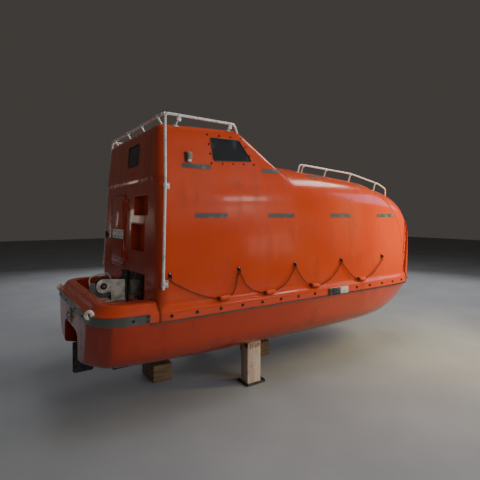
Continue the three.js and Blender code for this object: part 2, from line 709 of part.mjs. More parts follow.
// Handrails: aft risers that run on as the roof rails, with their brackets and posts
const PIPE = 15;
const ROOF_RAIL = { z: 3030, front: 3036 };
SIDES.forEach(({ word, sign }) => {
  const run = [
    [-1868, 1104, 1290],
    [-1818, 1034, 2330],
    [-1786, 950, ROOF_RAIL.z],
    [-930, 900, ROOF_RAIL.front],
    [-872, 868, 2945],
  ];
  const shape = join(
    pipe(run.map(([x, y, z]) => [x, y * sign, z]), PIPE, 45),
    ...[[-1866, 1101, 1330], [-1820, 1036, 2300]].map(([x, y, z]) => rod([x, y * sign, z], [x + 50, (y - 110) * sign, z], 11, 8)),
    ...[-1630, -990].map((x) => rod([x, 938 * sign, ROOF_RAIL.z], [x, 850 * sign, 2900], 11, 8)),
  );
  const rail = seated(shape, moulded, [0, GAP * 2 * sign, 0], [0, 0, GAP * 2], [-GAP * 2, 0, 0], [GAP * 2, 0, 0]);
  piece("handrail_" + word, rail, steel);
});
const topRail = join(
  rod([-1800, -918, 3026], [-1800, 918, 3026], PIPE, 8),
  ...[-780, -280, 225, 780].map((y) => rod([-1800, y, 3026], [-1740, y, 2900], 11, 8)),
);
piece("aft_top_rail", seated(topRail, moulded, [0, 0, GAP * 2], [-GAP * 2, 0, 0]), steel);

// Rails along the canopy's top
const CANOPY_RAIL = [[300, 612, 2560], [330, 612, 2706], [1380, 610, 2642], [2080, 588, 2520], [2310, 555, 2448], [2330, 545, 2150]];
SIDES.forEach(({ word, sign }) => {
  const shape = join(
    pipe(CANOPY_RAIL.map(([x, y, z]) => [x, y * sign, z]), 12, 40),
    ...[[1380, 2642], [2000, 2535]].map(([x, z]) => rod([x, 600 * sign, z], [x + 10, 585 * sign, z - 180], 10, 8)),
  );
  piece("canopy_rail_" + word, seated(shape, join(moulded, bowMoulding), [0, 0, GAP * 2]), steel);
});

// Lamps on the tower's sides and the fittings on the flange
SIDES.forEach(({ word, sign }) => {
  const lamp = box([-1552, -1462], [sign * 880, sign * 985].sort((a, b) => a - b), [2550, 2668]);
  piece("side_lamp_" + word, seated(lamp, moulded, [0, sign * GAP * 2, 0]), steel);
  const fitting = join(
    box([385, 575], [sign * (HALF_BEAM + GAP), sign * (HALF_BEAM + 12)].sort((a, b) => a - b), [984, 1066]),
    box([565, 715], [sign * (HALF_BEAM + GAP), sign * (HALF_BEAM + 40)].sort((a, b) => a - b), [984, 1066]),
  );
  piece("side_fitting_" + word, fitting, steel);
});

// Release hooks: a bracket on the floor and wall, and the hook with its pin and bail handle
const HOOK = { pin: [260, 180], eye: 83, disc: [300, 150], discRadius: 108, half: 20, cheek: 52, plate: 12 };
function hookSet(where, base, dir, floor) {
  const place = ([out, up]) => [base + dir * out, floor + up];
  const plate = (corners, low, high) => sideSlab(corners.map(place), low, high);
  const round = ([out, up], radius, low, high) =>
    plate(circle(radius, 24).map(([a, b]) => [out + a, up + b]), low, high);
  const [pinX, pinZ] = place(HOOK.pin);
  const pin = (radius) => rod([pinX, -75, pinZ], [pinX, 75, pinZ], radius, 16);
  const span = (a, b) => [base + dir * a, base + dir * b].sort((m, n) => m - n);
  const arm = [[14, 8], [180, 8], [180, 105], [260, 98], [260, 262], [14, 242]];
  const cheeks = [[HOOK.cheek - HOOK.plate, HOOK.cheek], [-HOOK.cheek, HOOK.plate - HOOK.cheek]];
  const bracket = join(
    box(span(1, 14), [-105, 105], [floor + GAP, floor + 340]),
    box(span(8, 400), [-85, 85], [floor + GAP, floor + 14]),
    ...cheeks.map(([low, high]) => join(plate(arm, low, high), round(HOOK.pin, HOOK.eye, low, high))),
  ).subtract(pin(16 + GAP));
  piece(where + "_hook_bracket", bracket, darkSteel);
  const mouth = [[265, 230], [305, 190], [405, 240], [405, 340], [275, 340]];
  const bail = [[165, 200], [168, 262], [203, 322], [390, 297], [408, 240], [392, 175]];
  const hook = join(
    round(HOOK.disc, HOOK.discRadius, -HOOK.half, HOOK.half),
    plate([[40, 70], [300, 45], [300, 255], [40, 200]], -HOOK.half, HOOK.half),
  ).subtract(plate(mouth, -HOOK.half - 1, HOOK.half + 1));
  const handle = pipe(bail.map(place).map(([x, z]) => [x, 0, z]), 8, 25);
  piece(where + "_hook", join(hook, pin(16), handle), steel);
}
hookSet("aft", -1900, -1, DECK.floor);
hookSet("forward", BOW_WELL.x, 1, BOW_WELL.floor);

// Stainless sheet on the aft wall beside the hook, and the towing eye on the transom
const sheet = sideSlab(
  [[wallX(1090) - 9, 1090], [wallX(1090) - GAP, 1090], [wallX(1372) - GAP, 1372], [wallX(1372) - 9, 1372]],
  -640,
  -120,
);
piece("aft_wall_sheet", sheet, steel);
const EYE = { z: 900, radius: 46, hole: 22, out: 24 };
const ringAt = (radius, half) =>
  sideSlab(circle(radius, 16).map(([a, b]) => [STERN - EYE.out + a * 0.45, EYE.z + b]), -half, half);
const towingEye = join(
  box([STERN - 10, STERN - GAP], [-60, 60], [830, 970]),
  ringAt(EYE.radius, 10),
).subtract(ringAt(EYE.hole, 30)).subtract(box([STERN - GAP, 0], [-100, 100], [700, 1000]));
piece("towing_eye", largest(towingEye), steel);

// Propeller, shaft and rudder in the stern tunnel
const PROPELLER = { x: -2150, hub: 38, hubLength: 90, radius: 175, blades: 3 };
const shaftAxis = (x) => [x, 0, SHAFT.height];
const shaft = rod(shaftAxis(TUNNEL.front - GAP), shaftAxis(PROPELLER.x + PROPELLER.hubLength / 2 + GAP), SHAFT.radius, 16);
piece("propeller_shaft", shaft, steel);
const BLADE = { halfThickness: 5, pitch: 0.96 };
// One blade's outline: across the chord, out from the shaft
const BLADE_OUTLINE = [
  [-26, 15],
  [26, 15],
  [50, 70],
  [58, 110],
  [48, 150],
  [20, PROPELLER.radius],
  [-20, PROPELLER.radius],
  [-48, 150],
  [-58, 110],
  [-50, 70],
];
function blade(turn) {
  const plate = new THREE.ExtrudeGeometry(outline(BLADE_OUTLINE), { depth: 2 * BLADE.halfThickness, bevelEnabled: false });
  plate.translate(0, 0, -BLADE.halfThickness).rotateX(Math.PI / 2).rotateZ(BLADE.pitch).rotateX(turn);
  return solid(plate.translate(PROPELLER.x, 0, SHAFT.height));
}
const hub = rod(
  shaftAxis(PROPELLER.x - PROPELLER.hubLength / 2),
  shaftAxis(PROPELLER.x + PROPELLER.hubLength / 2),
  PROPELLER.hub,
  16,
);
const blades = Array.from({ length: PROPELLER.blades }, (_, i) => blade((2 * Math.PI * i) / PROPELLER.blades));
piece("propeller", join(hub, ...blades), bronze);
const RUDDER = { x: -2330, half: 12, bottom: 250, top: 600 };
const rudder = join(
  sideSlab([[-2480, 270], [-2460, RUDDER.bottom], [-2270, RUDDER.bottom], [-2250, 300], [-2262, RUDDER.top], [-2480, 590]], -12, 12),
  rod([RUDDER.x, 0, RUDDER.bottom + 10], [RUDDER.x, 0, TUNNEL.roof - GAP], 20, 16),
);
piece("rudder", rudder, darkSteel);

// Engine on the floor of the hull
piece("engine", box([-1480, -780], [-280, 280], [WELL.floor + GAP, 1150]), darkSteel);

// Yard stands: a post under each bilge and blocks under the keel
const POST = { x: -620, y: 790, half: 95, foot: 14 };
SIDES.forEach(({ word, sign }) => {
  const y = POST.y * sign;
  const column = join(
    box([POST.x - POST.half, POST.x + POST.half], [y - 70, y + 70], [0, 600]),
    box([POST.x - 115, POST.x + 130], [y - 100, y + 100], [0, POST.foot]),
  );
  piece("stand_post_" + word, seated(column, hull, [0, 0, -GAP]), post);
});
[["aft", -1500], ["forward", 0]].forEach(([word, x]) => {
  piece("keel_block_" + word, box([x - 120, x + 120], [-200, 200], [0, KEEL.bottom - GAP]), timber);
});

export default boat;
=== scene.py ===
"""An enclosed lifeboat with a steering tower aft, ashore on its posts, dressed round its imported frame."""

import math

import bpy
import numpy as np
from mathutils import Matrix, Vector


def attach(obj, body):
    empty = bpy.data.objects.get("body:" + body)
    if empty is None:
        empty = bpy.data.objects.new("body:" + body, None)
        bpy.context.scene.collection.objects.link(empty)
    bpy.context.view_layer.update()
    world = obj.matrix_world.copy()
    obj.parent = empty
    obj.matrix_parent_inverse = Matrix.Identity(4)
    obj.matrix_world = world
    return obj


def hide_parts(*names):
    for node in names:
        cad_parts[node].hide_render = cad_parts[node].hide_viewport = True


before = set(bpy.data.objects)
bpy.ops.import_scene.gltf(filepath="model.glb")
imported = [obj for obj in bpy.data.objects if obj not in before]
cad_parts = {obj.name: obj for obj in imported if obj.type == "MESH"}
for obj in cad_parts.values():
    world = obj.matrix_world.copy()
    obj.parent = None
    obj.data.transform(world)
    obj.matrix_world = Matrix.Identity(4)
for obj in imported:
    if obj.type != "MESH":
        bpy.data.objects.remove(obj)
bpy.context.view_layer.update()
SIDES = (("starboard", -1), ("port", 1))


# The camera stands off the starboard quarter, level, 2 m above the floor
def stand_camera():
    view = bpy.data.cameras.new("camera")
    view.lens = 28.6
    view.sensor_width = 36
    view.shift_y = -0.051
    view.clip_end = 200
    camera = bpy.data.objects.new("camera", view)
    camera.location = (-3.275, -4.55, 2.0)
    camera.rotation_euler = (math.radians(90), 0, math.radians(-33.6))
    bpy.context.scene.collection.objects.link(camera)
    bpy.context.scene.camera = camera


stand_camera()


# Choosing, joining and shaping objects
def choose(*objects):
    bpy.ops.object.select_all(action="DESELECT")
    for one in objects:
        one.select_set(True)
    bpy.context.view_layer.objects.active = objects[-1]


def settle(piece):
    choose(piece)
    bpy.ops.object.transform_apply(location=True, rotation=True, scale=True)
    return piece


def shape_with(piece, kind, **settings):
    choose(piece)
    modifier = piece.modifiers.new(kind.title(), kind)
    for key, value in settings.items():
        setattr(modifier, key, value)
    bpy.ops.object.modifier_apply(modifier=modifier.name)
    return piece


def joined(pieces):
    if len(pieces) > 1:
        choose(*pieces)
        bpy.ops.object.join()
    return pieces[-1]


def copied(piece):
    other = piece.copy()
    other.data = piece.data.copy()
    bpy.context.scene.collection.objects.link(other)
    return other


def smoothed(piece, degrees=35):
    choose(piece)
    bpy.ops.object.shade_smooth_by_angle(angle=math.radians(degrees))
    return piece


def mend(piece, merge=0.0, capped=False):
    """Merges points that lie together, closes open ends if asked, and turns all faces outwards"""
    choose(piece)
    bpy.ops.object.mode_set(mode="EDIT")
    bpy.ops.mesh.select_all(action="SELECT")
    if merge:
        bpy.ops.mesh.remove_doubles(threshold=merge)
    if capped:
        bpy.ops.mesh.fill_holes(sides=0)
    bpy.ops.mesh.normals_make_consistent(inside=False)
    bpy.ops.object.mode_set(mode="OBJECT")
    return piece


def carve(piece, tool, operation="DIFFERENCE"):
    shape_with(piece, "BOOLEAN", object=tool, operation=operation, solver="MANIFOLD")
    bpy.data.objects.remove(tool)
    return piece


def rounded(piece, width, segments=2, degrees=30):
    limits = {"limit_method": "ANGLE", "angle_limit": math.radians(degrees)}
    return shape_with(piece, "BEVEL", width=width, segments=segments, **limits)


# A piece is done: it gets its name, finish, body and the nodes that it stands for. A list of parts
# is joined and smoothed first
def hand_over(piece, name, finish, *nodes, body="boat", slot=None):
    if isinstance(piece, list):
        piece = smoothed(joined(piece))
    piece.name = name
    piece.data.name = name
    piece.data.materials.clear()
    piece.data.materials.append(finish[0])
    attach(piece, body)
    if nodes:
        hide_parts(*nodes)
    return piece


# Plain solids that the pieces are cut and built from
def begin(primitive, **settings):
    """A new primitive, added with nothing else selected"""
    bpy.ops.object.select_all(action="DESELECT")
    primitive(**settings)
    return bpy.context.object


def block(low, high, bevel=0.0, segments=2):
    made = begin(bpy.ops.mesh.primitive_cube_add, size=1, location=[(a + b) / 2 for a, b in zip(low, high)])
    made.scale = [b - a for a, b in zip(low, high)]
    settle(made)
    return rounded(made, bevel, segments) if bevel else made


def bar(start, end, radius, sides=16, bevel=0.0):
    a, b = Vector(start), Vector(end)
    round_bar = {"vertices": sides, "radius": radius, "depth": (b - a).length}
    made = begin(bpy.ops.mesh.primitive_cylinder_add, location=(a + b) / 2, **round_bar)
    made.rotation_euler = (b - a).to_track_quat("Z", "Y").to_euler()
    settle(made)
    return rounded(made, bevel, 2, 50) if bevel else made


# A slab from an outline: side view (x, z), end view (y, z) or plan (x, y)
TURNS = {
    "side": Matrix(((1, 0, 0), (0, 0, 1), (0, 1, 0))).to_4x4(),
    "end": Matrix(((0, 0, 1), (1, 0, 0), (0, 1, 0))).to_4x4(),
    "plan": Matrix.Identity(4),
}


def slab(view, corners, low, high, bevel=0.0, segments=2):
    made = begin(bpy.ops.mesh.primitive_circle_add, vertices=len(corners), fill_type="NGON")
    for vertex, (a, b) in zip(made.data.vertices, corners):
        vertex.co = (a, b, low)
    bpy.ops.object.mode_set(mode="EDIT")
    bpy.ops.mesh.select_all(action="SELECT")
    bpy.ops.mesh.extrude_region_move(TRANSFORM_OT_translate={"value": (0, 0, high - low)})
    bpy.ops.object.mode_set(mode="OBJECT")
    made.data.transform(TURNS[view])
    mend(made)
    return rounded(made, bevel, segments) if bevel else made


def arc(first, corner, last, steps):
    """Points of a bend from first to last, drawn towards a corner"""
    first, corner, last = (np.array(p, float) for p in (first, corner, last))
    spans = np.linspace(0, 1, steps + 1)
    return [(1 - s) ** 2 * first + 2 * s * (1 - s) * corner + s * s * last for s in spans]


def bent(before, here, after, radius, steps):
    """A corner between two straight sides, rounded by a bend"""
    before, here, after = (np.array(p, float) for p in (before, here, after))
    first = here + (before - here) / np.linalg.norm(before - here) * radius
    last = here + (after - here) / np.linalg.norm(after - here) * radius
    return arc(first, here, last, steps)


def softened(corners, steps=5):
    """An outline whose corners (a, b, radius) are rounded by bends"""
    points = []
    for i, (a, b, radius) in enumerate(corners):
        after = corners[(i + 1) % len(corners)]
        points += bent(corners[i - 1][:2], (a, b), after[:2], radius, steps) if radius > 0 else [(a, b)]
    return points


def evenly(corners, radius, steps=5):
    """An outline whose corners are all rounded alike"""
    return softened([(a, b, radius) for a, b in corners], steps)


def rectangle(a, b):
    return ((a[0], b[0]), (a[1], b[0]), (a[1], b[1]), (a[0], b[1]))


def bent_run(points, radius, steps=8):
    """The points of a pipe of straight runs whose corners are bent"""
    run = [points[0]]
    for before, here, after in zip(points, points[1:], points[2:]):
        run += bent(before, here, after, radius, steps)
    return run + [points[-1]]


def laid_grid(rows):
    """A sheet of faces through rows of points"""
    cells = {"x_subdivisions": len(rows[0]) - 1, "y_subdivisions": len(rows) - 1}
    made = begin(bpy.ops.mesh.primitive_grid_add, **cells)
    made.data.vertices.foreach_set("co", np.array(rows, float).reshape(-1))
    made.data.update()
    return made


def skin(rings):
    """A closed form through rings of points, made from a grid laid on them and closed at its ends"""
    return mend(laid_grid([list(ring) + [ring[0]] for ring in rings]), 1e-5, True)


def tube(points, radius, sides=16, closed=False):
    """A pipe along points that already lie close together"""
    line = bpy.data.curves.new("tube", "CURVE")
    line.dimensions = "3D"
    spline = line.splines.new("POLY")
    spline.points.add(len(points) - 1)
    for place, point in zip(spline.points, points):
        place.co = (*point, 1)
    spline.use_cyclic_u = closed
    line.bevel_depth = radius
    line.bevel_resolution = sides // 4 - 1
    line.use_fill_caps = not closed
    made = bpy.data.objects.new("tube", line)
    bpy.context.scene.collection.objects.link(made)
    choose(made)
    bpy.ops.object.convert(target="MESH")
    return smoothed(mend(bpy.context.object, 1e-6), 50)


# Colours and nodes
def linear(colour):
    """A hex sRGB colour as linear red, green, blue and alpha"""
    parts = [int(colour[i : i + 2], 16) / 255 for i in (1, 3, 5)]
    return (*[p / 12.92 if p <= 0.04045 else ((p + 0.055) / 1.055) ** 2.4 for p in parts], 1.0)


def add(tree, kind, values=(), links=(), **settings):
    node = tree.nodes.new(kind)
    for key, value in settings.items():
        setattr(node, key, value)
    for key, value in values:
        node.inputs[key].default_value = value
    for key, source in links:
        tree.links.new(source, node.inputs[key])
    return node


def new_finish(name, colour, **constants):
    """A named material whose surface has its constants set on its own sockets"""
    material = bpy.data.materials.new(name)
    material.use_nodes = True
    tree = material.node_tree
    surface = tree.nodes["Principled BSDF"]
    surface.inputs["Base Color"].default_value = linear(colour)
    for key, value in constants.items():
        surface.inputs[key.replace("_", " ")].default_value = value
    place = add(tree, "ShaderNodeTexCoord").outputs["Object"]
    return material, tree, surface, place


def spots(tree, place, per_metre, detail=3.0, rough=0.55, stretch=(1, 1, 1)):
    """Noise with so many patches to the metre, stretched along an axis by a small number there"""
    laid = add(tree, "ShaderNodeMapping", [("Scale", stretch)], [("Vector", place)])
    return add(
        tree,
        "ShaderNodeTexNoise",
        [("Scale", per_metre), ("Detail", detail), ("Roughness", rough)],
        [("Vector", laid.outputs[0])],
    ).outputs["Fac"]


def stained(tree, pattern, low, high, most, under, over):
    """One colour laid over another where a pattern rises from low to high, at most so far"""
    levels = [("From Min", low), ("From Max", high), ("To Max", most)]
    cover = add(tree, "ShaderNodeMapRange", levels, [("Value", pattern)], interpolation_type="SMOOTHSTEP")
    colours, links = [], [(0, cover.outputs[0])]
    for socket, colour in ((6, under), (7, over)):
        if isinstance(colour, str):
            colours.append((socket, linear(colour)))
        else:
            links.append((socket, colour))
    return add(tree, "ShaderNodeMix", colours, links, data_type="RGBA").outputs[2]


def dulled(tree, surface, pattern, low, high, smooth, rough):
    """The surface goes from smooth to rough where a pattern rises from low to high"""
    levels = [("From Min", low), ("From Max", high), ("To Min", smooth), ("To Max", rough)]
    gloss = add(tree, "ShaderNodeMapRange", levels, [("Value", pattern)], interpolation_type="SMOOTHSTEP")
    tree.links.new(gloss.outputs[0], surface.inputs["Roughness"])


def relief(tree, surface, height, depth, strength=1.0, under=None):
    links = [("Height", height)] + ([("Normal", under)] if under else [])
    bump = add(tree, "ShaderNodeBump", [("Strength", strength), ("Distance", depth)], links)
    tree.links.new(bump.outputs[0], surface.inputs["Normal"])
    return bump.outputs[0]


# The settings of a mottled finish: marks are its noise (patches to the metre, detail, roughness,
# stretch), span is where the second colour comes in (from, to, at most), gloss is its roughness
# (from, to, smooth, rough) and grain its relief (depth, strength, then a noise if not the marks)
def mottled(name, first, second, marks, span, gloss=None, grain=None, **constants):
    material, tree, surface, place = new_finish(name, first, **constants)
    pattern = spots(tree, place, *marks)
    tree.links.new(stained(tree, pattern, *span, first, second), surface.inputs["Base Color"])
    if gloss:
        dulled(tree, surface, pattern, *gloss)
    if grain:
        depth, strength, *fine = grain
        relief(tree, surface, spots(tree, place, *fine) if fine else pattern, depth, strength)
    return material


# Polyester gelcoat sprayed into a polished mould: a deep orange under a hard gloss, with the slow
# waves that the fibre mat prints through, and thin dull streaks where rain has run down
def gelcoat(name, colour, faded, soiled):
    coat = {"IOR": 1.5, "Coat_Weight": 0.35, "Coat_Roughness": 0.04, "Coat_IOR": 1.5}
    material, tree, surface, place = new_finish(name, colour, **coat)
    shade = stained(tree, spots(tree, place, 1.1, 4), 0.35, 0.7, 0.75, colour, faded)
    runs = spots(tree, place, 9, 5, 0.6, (1, 1, 0.07))
    dust = spots(tree, place, 2.3, 6, 0.65)
    both = add(tree, "ShaderNodeMath", links=[(0, runs), (1, dust)], operation="MULTIPLY").outputs[0]
    tree.links.new(stained(tree, both, 0.24, 0.46, 0.5, shade, soiled), surface.inputs["Base Color"])
    dulled(tree, surface, both, 0.15, 0.5, 0.17, 0.42)
    peel = relief(tree, surface, spots(tree, place, 160, 2, 0.5), 0.0003, 0.25)
    relief(tree, surface, spots(tree, place, 1.7, 2, 0.5), 0.02, 0.22, peel)
    return material


# Stainless pipe and strip, drawn and rubbed with a pad: bright, with faint lines and water marks
def stainless(name, colour, rough, lines=(1, 1, 0.05), metal=1.0):
    marks, span, gloss = (14, 5, 0.6), (0.5, 0.75, 0.6), (0.3, 0.75, *rough)
    grain = (0.0004, 0.25, 260, 3, 0.6, lines)
    return mottled(name, colour, "#8C867C", marks, span, gloss, grain, Metallic=metal)


# Galvanised and painted forgings: a dull grey with darker grease where hands and pins have been
def forging(name, colour, greasy, rough=0.5, metal=0.55):
    marks, span, gloss = (11, 6, 0.7), (0.42, 0.66, 0.85), (0.3, 0.7, rough - 0.12, rough + 0.18)
    grain = (0.0012, 0.35, 90, 4, 0.6)
    return mottled(name, colour, greasy, marks, span, gloss, grain, Metallic=metal)


# Rough-sawn softwood gone grey-brown in the yard: long grain and saw marks across it
def sawn_timber(name, colour, dark, along):
    marks, span, grain = (60, 5, 0.65, along), (0.3, 0.7, 1), (0.004, 0.5)
    return mottled(name, colour, dark, marks, span, None, grain, Roughness=0.85)


# Rotational-moulded float plastic: a chalky orange skin, scuffed paler on its high places
def float_skin():
    marks, span, grain = (40, 5, 0.65), (0.4, 0.75, 0.8), (0.002, 0.3)
    return mottled("float_skin", "#A93A1A", "#D0613A", marks, span, None, grain, Roughness=0.55)


# Cast tinted acrylic: almost black from outside, with a hard clear gloss and faint wipe marks
def tinted_acrylic():
    marks, span, gloss = (8, 4, 0.6, (1, 1, 0.4)), (0.5, 0.8, 0.45), (0.35, 0.75, 0.03, 0.16)
    clear = {"IOR": 1.49, "Transmission_Weight": 0.2}
    return mottled("tinted_acrylic", "#2B2F33", "#5E6062", marks, span, gloss, **clear)


# Cast propeller bronze: brown-gold, duller and greener in the hollows than on the polished faces
def cast_bronze():
    marks, span, gloss = (26, 5, 0.6), (0.4, 0.7, 0.8), (0.3, 0.7, 0.28, 0.55)
    return mottled("cast_bronze", "#A5834A", "#5E5A3C", marks, span, gloss, Metallic=1.0)


# Three-strand polypropylene rope, dark with handling: its strands wind round at 45 mm to the turn
def laid_rope():
    material, tree, surface, place = new_finish("laid_rope", "#352A22", Roughness=0.85)
    turns = [("Scale", 22), ("Distortion", 0.6), ("Detail", 1)]
    wave = add(tree, "ShaderNodeTexWave", turns, [("Vector", place)], bands_direction="DIAGONAL")
    strands = wave.outputs["Fac"]
    colours = [(6, linear("#241B15")), (7, linear("#54443A"))]
    shade = add(tree, "ShaderNodeMix", colours, [(0, strands)], data_type="RGBA").outputs[2]
    tree.links.new(shade, surface.inputs["Base Color"])
    relief(tree, surface, strands, 0.002, 0.7)
    return material


# Retroreflective tape: grey film over rows of tiny cells, with edges rubbed pale and dust in them
def reflective_tape():
    marks, span, gloss = (13, 6, 0.7), (0.52, 0.66, 0.8), (0.3, 0.7, 0.28, 0.6)
    material = mottled("reflective_tape", "#53575A", "#8C8D8A", marks, span, gloss, Metallic=0.35)
    tree = material.node_tree
    place = tree.nodes["Texture Coordinate"].outputs["Object"]
    rows = [("Scale", 190), ("Randomness", 0.25)]
    cells = add(tree, "ShaderNodeTexVoronoi", rows, [("Vector", place)]).outputs["Distance"]
    relief(tree, tree.nodes["Principled BSDF"], cells, 0.0008, 0.35)
    return material


# Brushed yard paint on steel posts: a dull beige, scraped and streaked downwards
def post_paint(name, colour, scraped, soiled):
    material, tree, surface, place = new_finish(name, colour, Roughness=0.7)
    runs = spots(tree, place, 26, 6, 0.7, (1, 1, 0.09))
    chips = spots(tree, place, 17, 6, 0.7)
    shade = stained(tree, runs, 0.35, 0.7, 1, colour, scraped)
    shade = stained(tree, chips, 0.55, 0.72, 0.8, shade, soiled)
    tree.links.new(shade, surface.inputs["Base Color"])
    relief(tree, surface, runs, 0.003, 0.4)
    return material


# Each finish goes with the name of its slot
ORANGE = gelcoat("orange_gelcoat", "#AE3B1E", "#B64526", "#84321A"), "gelcoat_orange"
# The hull's copy of the orange gelcoat is darker: it is painted shade for the lower hull under the flange
ORANGE_PAINTED_SHADE = gelcoat("orange_gelcoat_painted_shade", "#9A2E12", "#A23618", "#6A2814"), "gelcoat_orange"
STEEL = stainless("rubbed_stainless", "#F0ECE8", (0.2, 0.36), metal=0.5), "stainless"
FASTENER = stainless("oiled_fasteners", "#5A544E", (0.2, 0.4), metal=0.9), "stainless"
STRIP = stainless("strip_stainless", "#8F9188", (0.26, 0.5), (0.2, 0.2, 1)), "stainless"
SHEET = stainless("smoked_sheet", "#4A4341", (0.18, 0.34), (1, 0.2, 0.06)), "stainless"
FORGED = forging("painted_forging", "#A9ACA5", "#5B574F", 0.42), "stainless"
DARK_STEEL = forging("dark_painted_steel", "#4A4D4E", "#2B2926", 0.5, 0.3), "hook_steel"
IRON = forging("engine_enamel", "#46525A", "#22262A", 0.4, 0.1), "engine_iron"
LAMP = forging("lamp_enamel", "#8F8C80", "#5E5B52", 0.35, 0.1), "lamp_housing"
BLOCK_GREY = forging("grey_block_enamel", "#B9B6AC", "#8F8A80", 0.35, 0.0), "stainless"
PLATE = forging("bare_lock_plate", "#F0EFEA", "#B5B1A8", 0.38, 0.0), "stainless"
HOOK_LIGHT = forging("galvanised_plate", "#F0EFE4", "#A9A496", 0.42, 0.05), "hook_steel"
HOOK_GREY = forging("hook_casting", "#7D8A85", "#4C514C", 0.4, 0.3), "stainless"
RUBBER = forging("window_rubber", "#1B1B1B", "#2A2826", 0.6, 0.0), "rope"
ROPE = laid_rope(), "rope"
TAPE = reflective_tape(), "stainless"
POST = post_paint("beige_post_paint", "#A08C7C", "#B7A596", "#6D6156"), "stand_steel"
TIMBER = sawn_timber("sawn_timber", "#8A745A", "#5E4B38", (0.06, 1, 1)), "timber"
SHIM = sawn_timber("split_wood_shim", "#B39A7C", "#7C6248", (1, 0.1, 1)), "timber"
FLOAT = float_skin(), "float_plastic"
GLASS = tinted_acrylic(), "window_glass"
BRONZE = cast_bronze(), "bronze"

# The lifelines: one rope each side, hung from five eyes in four bights, with a float in each
EYES = (-1.775, -0.965, -0.150, 0.670, 1.550)
FLOATS = (-1.17, -0.56, 0.16, 1.05)
ROPE_RADIUS = 0.0055
# x, y, z of the points that the rope passes, from the aft eye to the forward one
LIFELINE = (
    (-1.775, 1.066, 1.366), (-1.748, 1.069, 1.342), (-1.680, 1.074, 1.300), (-1.560, 1.082, 1.235),
    (-1.400, 1.090, 1.168), (-1.250, 1.094, 1.134), (-1.170, 1.095, 1.128), (-1.095, 1.094, 1.142),
    (-1.030, 1.084, 1.215), (-0.994, 1.071, 1.330), (-0.965, 1.066, 1.372), (-0.937, 1.071, 1.334),
    (-0.890, 1.081, 1.240), (-0.790, 1.090, 1.165), (-0.650, 1.094, 1.127), (-0.560, 1.095, 1.121),
    (-0.470, 1.094, 1.133), (-0.330, 1.088, 1.190), (-0.225, 1.078, 1.285), (-0.178, 1.071, 1.345),
    (-0.150, 1.066, 1.372), (-0.122, 1.072, 1.338), (-0.060, 1.082, 1.240), (0.050, 1.091, 1.155),
    (0.160, 1.095, 1.124), (0.260, 1.094, 1.129), (0.410, 1.090, 1.170), (0.540, 1.081, 1.248),
    (0.640, 1.071, 1.345), (0.670, 1.066, 1.372), (0.699, 1.071, 1.342), (0.790, 1.082, 1.235),
    (0.910, 1.091, 1.152), (1.050, 1.095, 1.124), (1.150, 1.092, 1.132), (1.300, 1.084, 1.188),
    (1.430, 1.075, 1.270), (1.520, 1.067, 1.342), (1.550, 1.062, 1.366),
)


def between(s, low, high, a, b):
    """The value at s on the straight line from a at low to b at high"""
    return (high - s) / (high - low) * a + (s - low) / (high - low) * b


def flowing(points, per_span=6):
    """A smooth line through points, eased by the distance between them"""
    p = [np.array(q, float) for q in points]
    p = [2 * p[0] - p[1]] + p + [2 * p[-1] - p[-2]]
    line = []
    for four in zip(p, p[1:], p[2:], p[3:]):
        t = [0.0]
        for m, n in zip(four, four[1:]):
            t.append(t[-1] + max(1e-6, np.linalg.norm(n - m)) ** 0.5)
        for s in np.linspace(t[1], t[2], per_span, endpoint=False):
            ab, bc, cd = (between(s, t[k], t[k + 1], four[k], four[k + 1]) for k in range(3))
            left, right = between(s, t[0], t[2], ab, bc), between(s, t[1], t[3], bc, cd)
            line.append(between(s, t[1], t[2], left, right))
    return line + [p[-2]]


def pick_end(piece, way):
    """Chooses the end faces of a piece that lies along z, and stays in edit mode"""
    choose(piece)
    bpy.ops.object.mode_set(mode="EDIT")
    bpy.ops.mesh.select_mode(type="FACE")
    bpy.ops.mesh.select_all(action="DESELECT")
    bpy.ops.object.mode_set(mode="OBJECT")
    for face in piece.data.polygons:
        face.select = face.normal.z * way > 0.9
    bpy.ops.object.mode_set(mode="EDIT")


def float_and_shaded_seizing(x, sign):
    """One float, fat in the middle with shouldered ends, and dark twine round the rope on its aft end only,
    which stands as painted shade of that end as well
    """
    at = [p[0] for p in LIFELINE].index(x)
    before, here, after = (Vector(LIFELINE[at + k]) for k in (-1, 0, 1))
    turn = (after - before).to_track_quat("Z", "Y").to_matrix().to_4x4()
    body = begin(bpy.ops.mesh.primitive_cylinder_add, vertices=20, radius=0.0265, depth=0.1)
    for way in (1, -1):
        pick_end(body, way)
        bpy.ops.mesh.extrude_region_move(TRANSFORM_OT_translate={"value": (0, 0, 0.019 * way)})
        bpy.ops.transform.resize(value=(0.62, 0.62, 1))
        bpy.ops.object.mode_set(mode="OBJECT")
    rounded(body, 0.006, 3, 20)
    body.data.transform(Matrix.Translation(here) @ turn)
    if sign < 0:
        body.data.transform(Matrix.Scale(-1, 4, (0, 1, 0)))
        mend(body)
    back = (before - here).normalized()
    start, end = ((here + back * away) * Vector((1, sign, 1)) for away in (0.062, 0.092))
    return smoothed(body, 40), smoothed(bar(start, end, 0.0155, 16, 0.004), 40)


def to_side(points, sign):
    """Points of the port side, or their mirror"""
    return [(x, y * sign, z) for x, y, z in points]


def hang_lifelines():
    for word, sign in SIDES:
        path = to_side(flowing(LIFELINE), sign)
        line = hand_over(tube(path, ROPE_RADIUS, 8), "rope_" + word, ROPE, "lifeline_" + word)
        floats, ends = [], []
        for i, x in enumerate(FLOATS, 1):
            body, end = float_and_shaded_seizing(x, sign)
            node = f"lifeline_float_{word}_{i}"
            floats.append(hand_over(body, f"float_{word}_{i}", FLOAT, node))
            ends.append(end)
        # The dark twine sits only on each float's aft end: a seizing that is also painted shade of that end
        floats.append(hand_over(joined(ends), "float_shaded_seizings_" + word, RUBBER))


hang_lifelines()


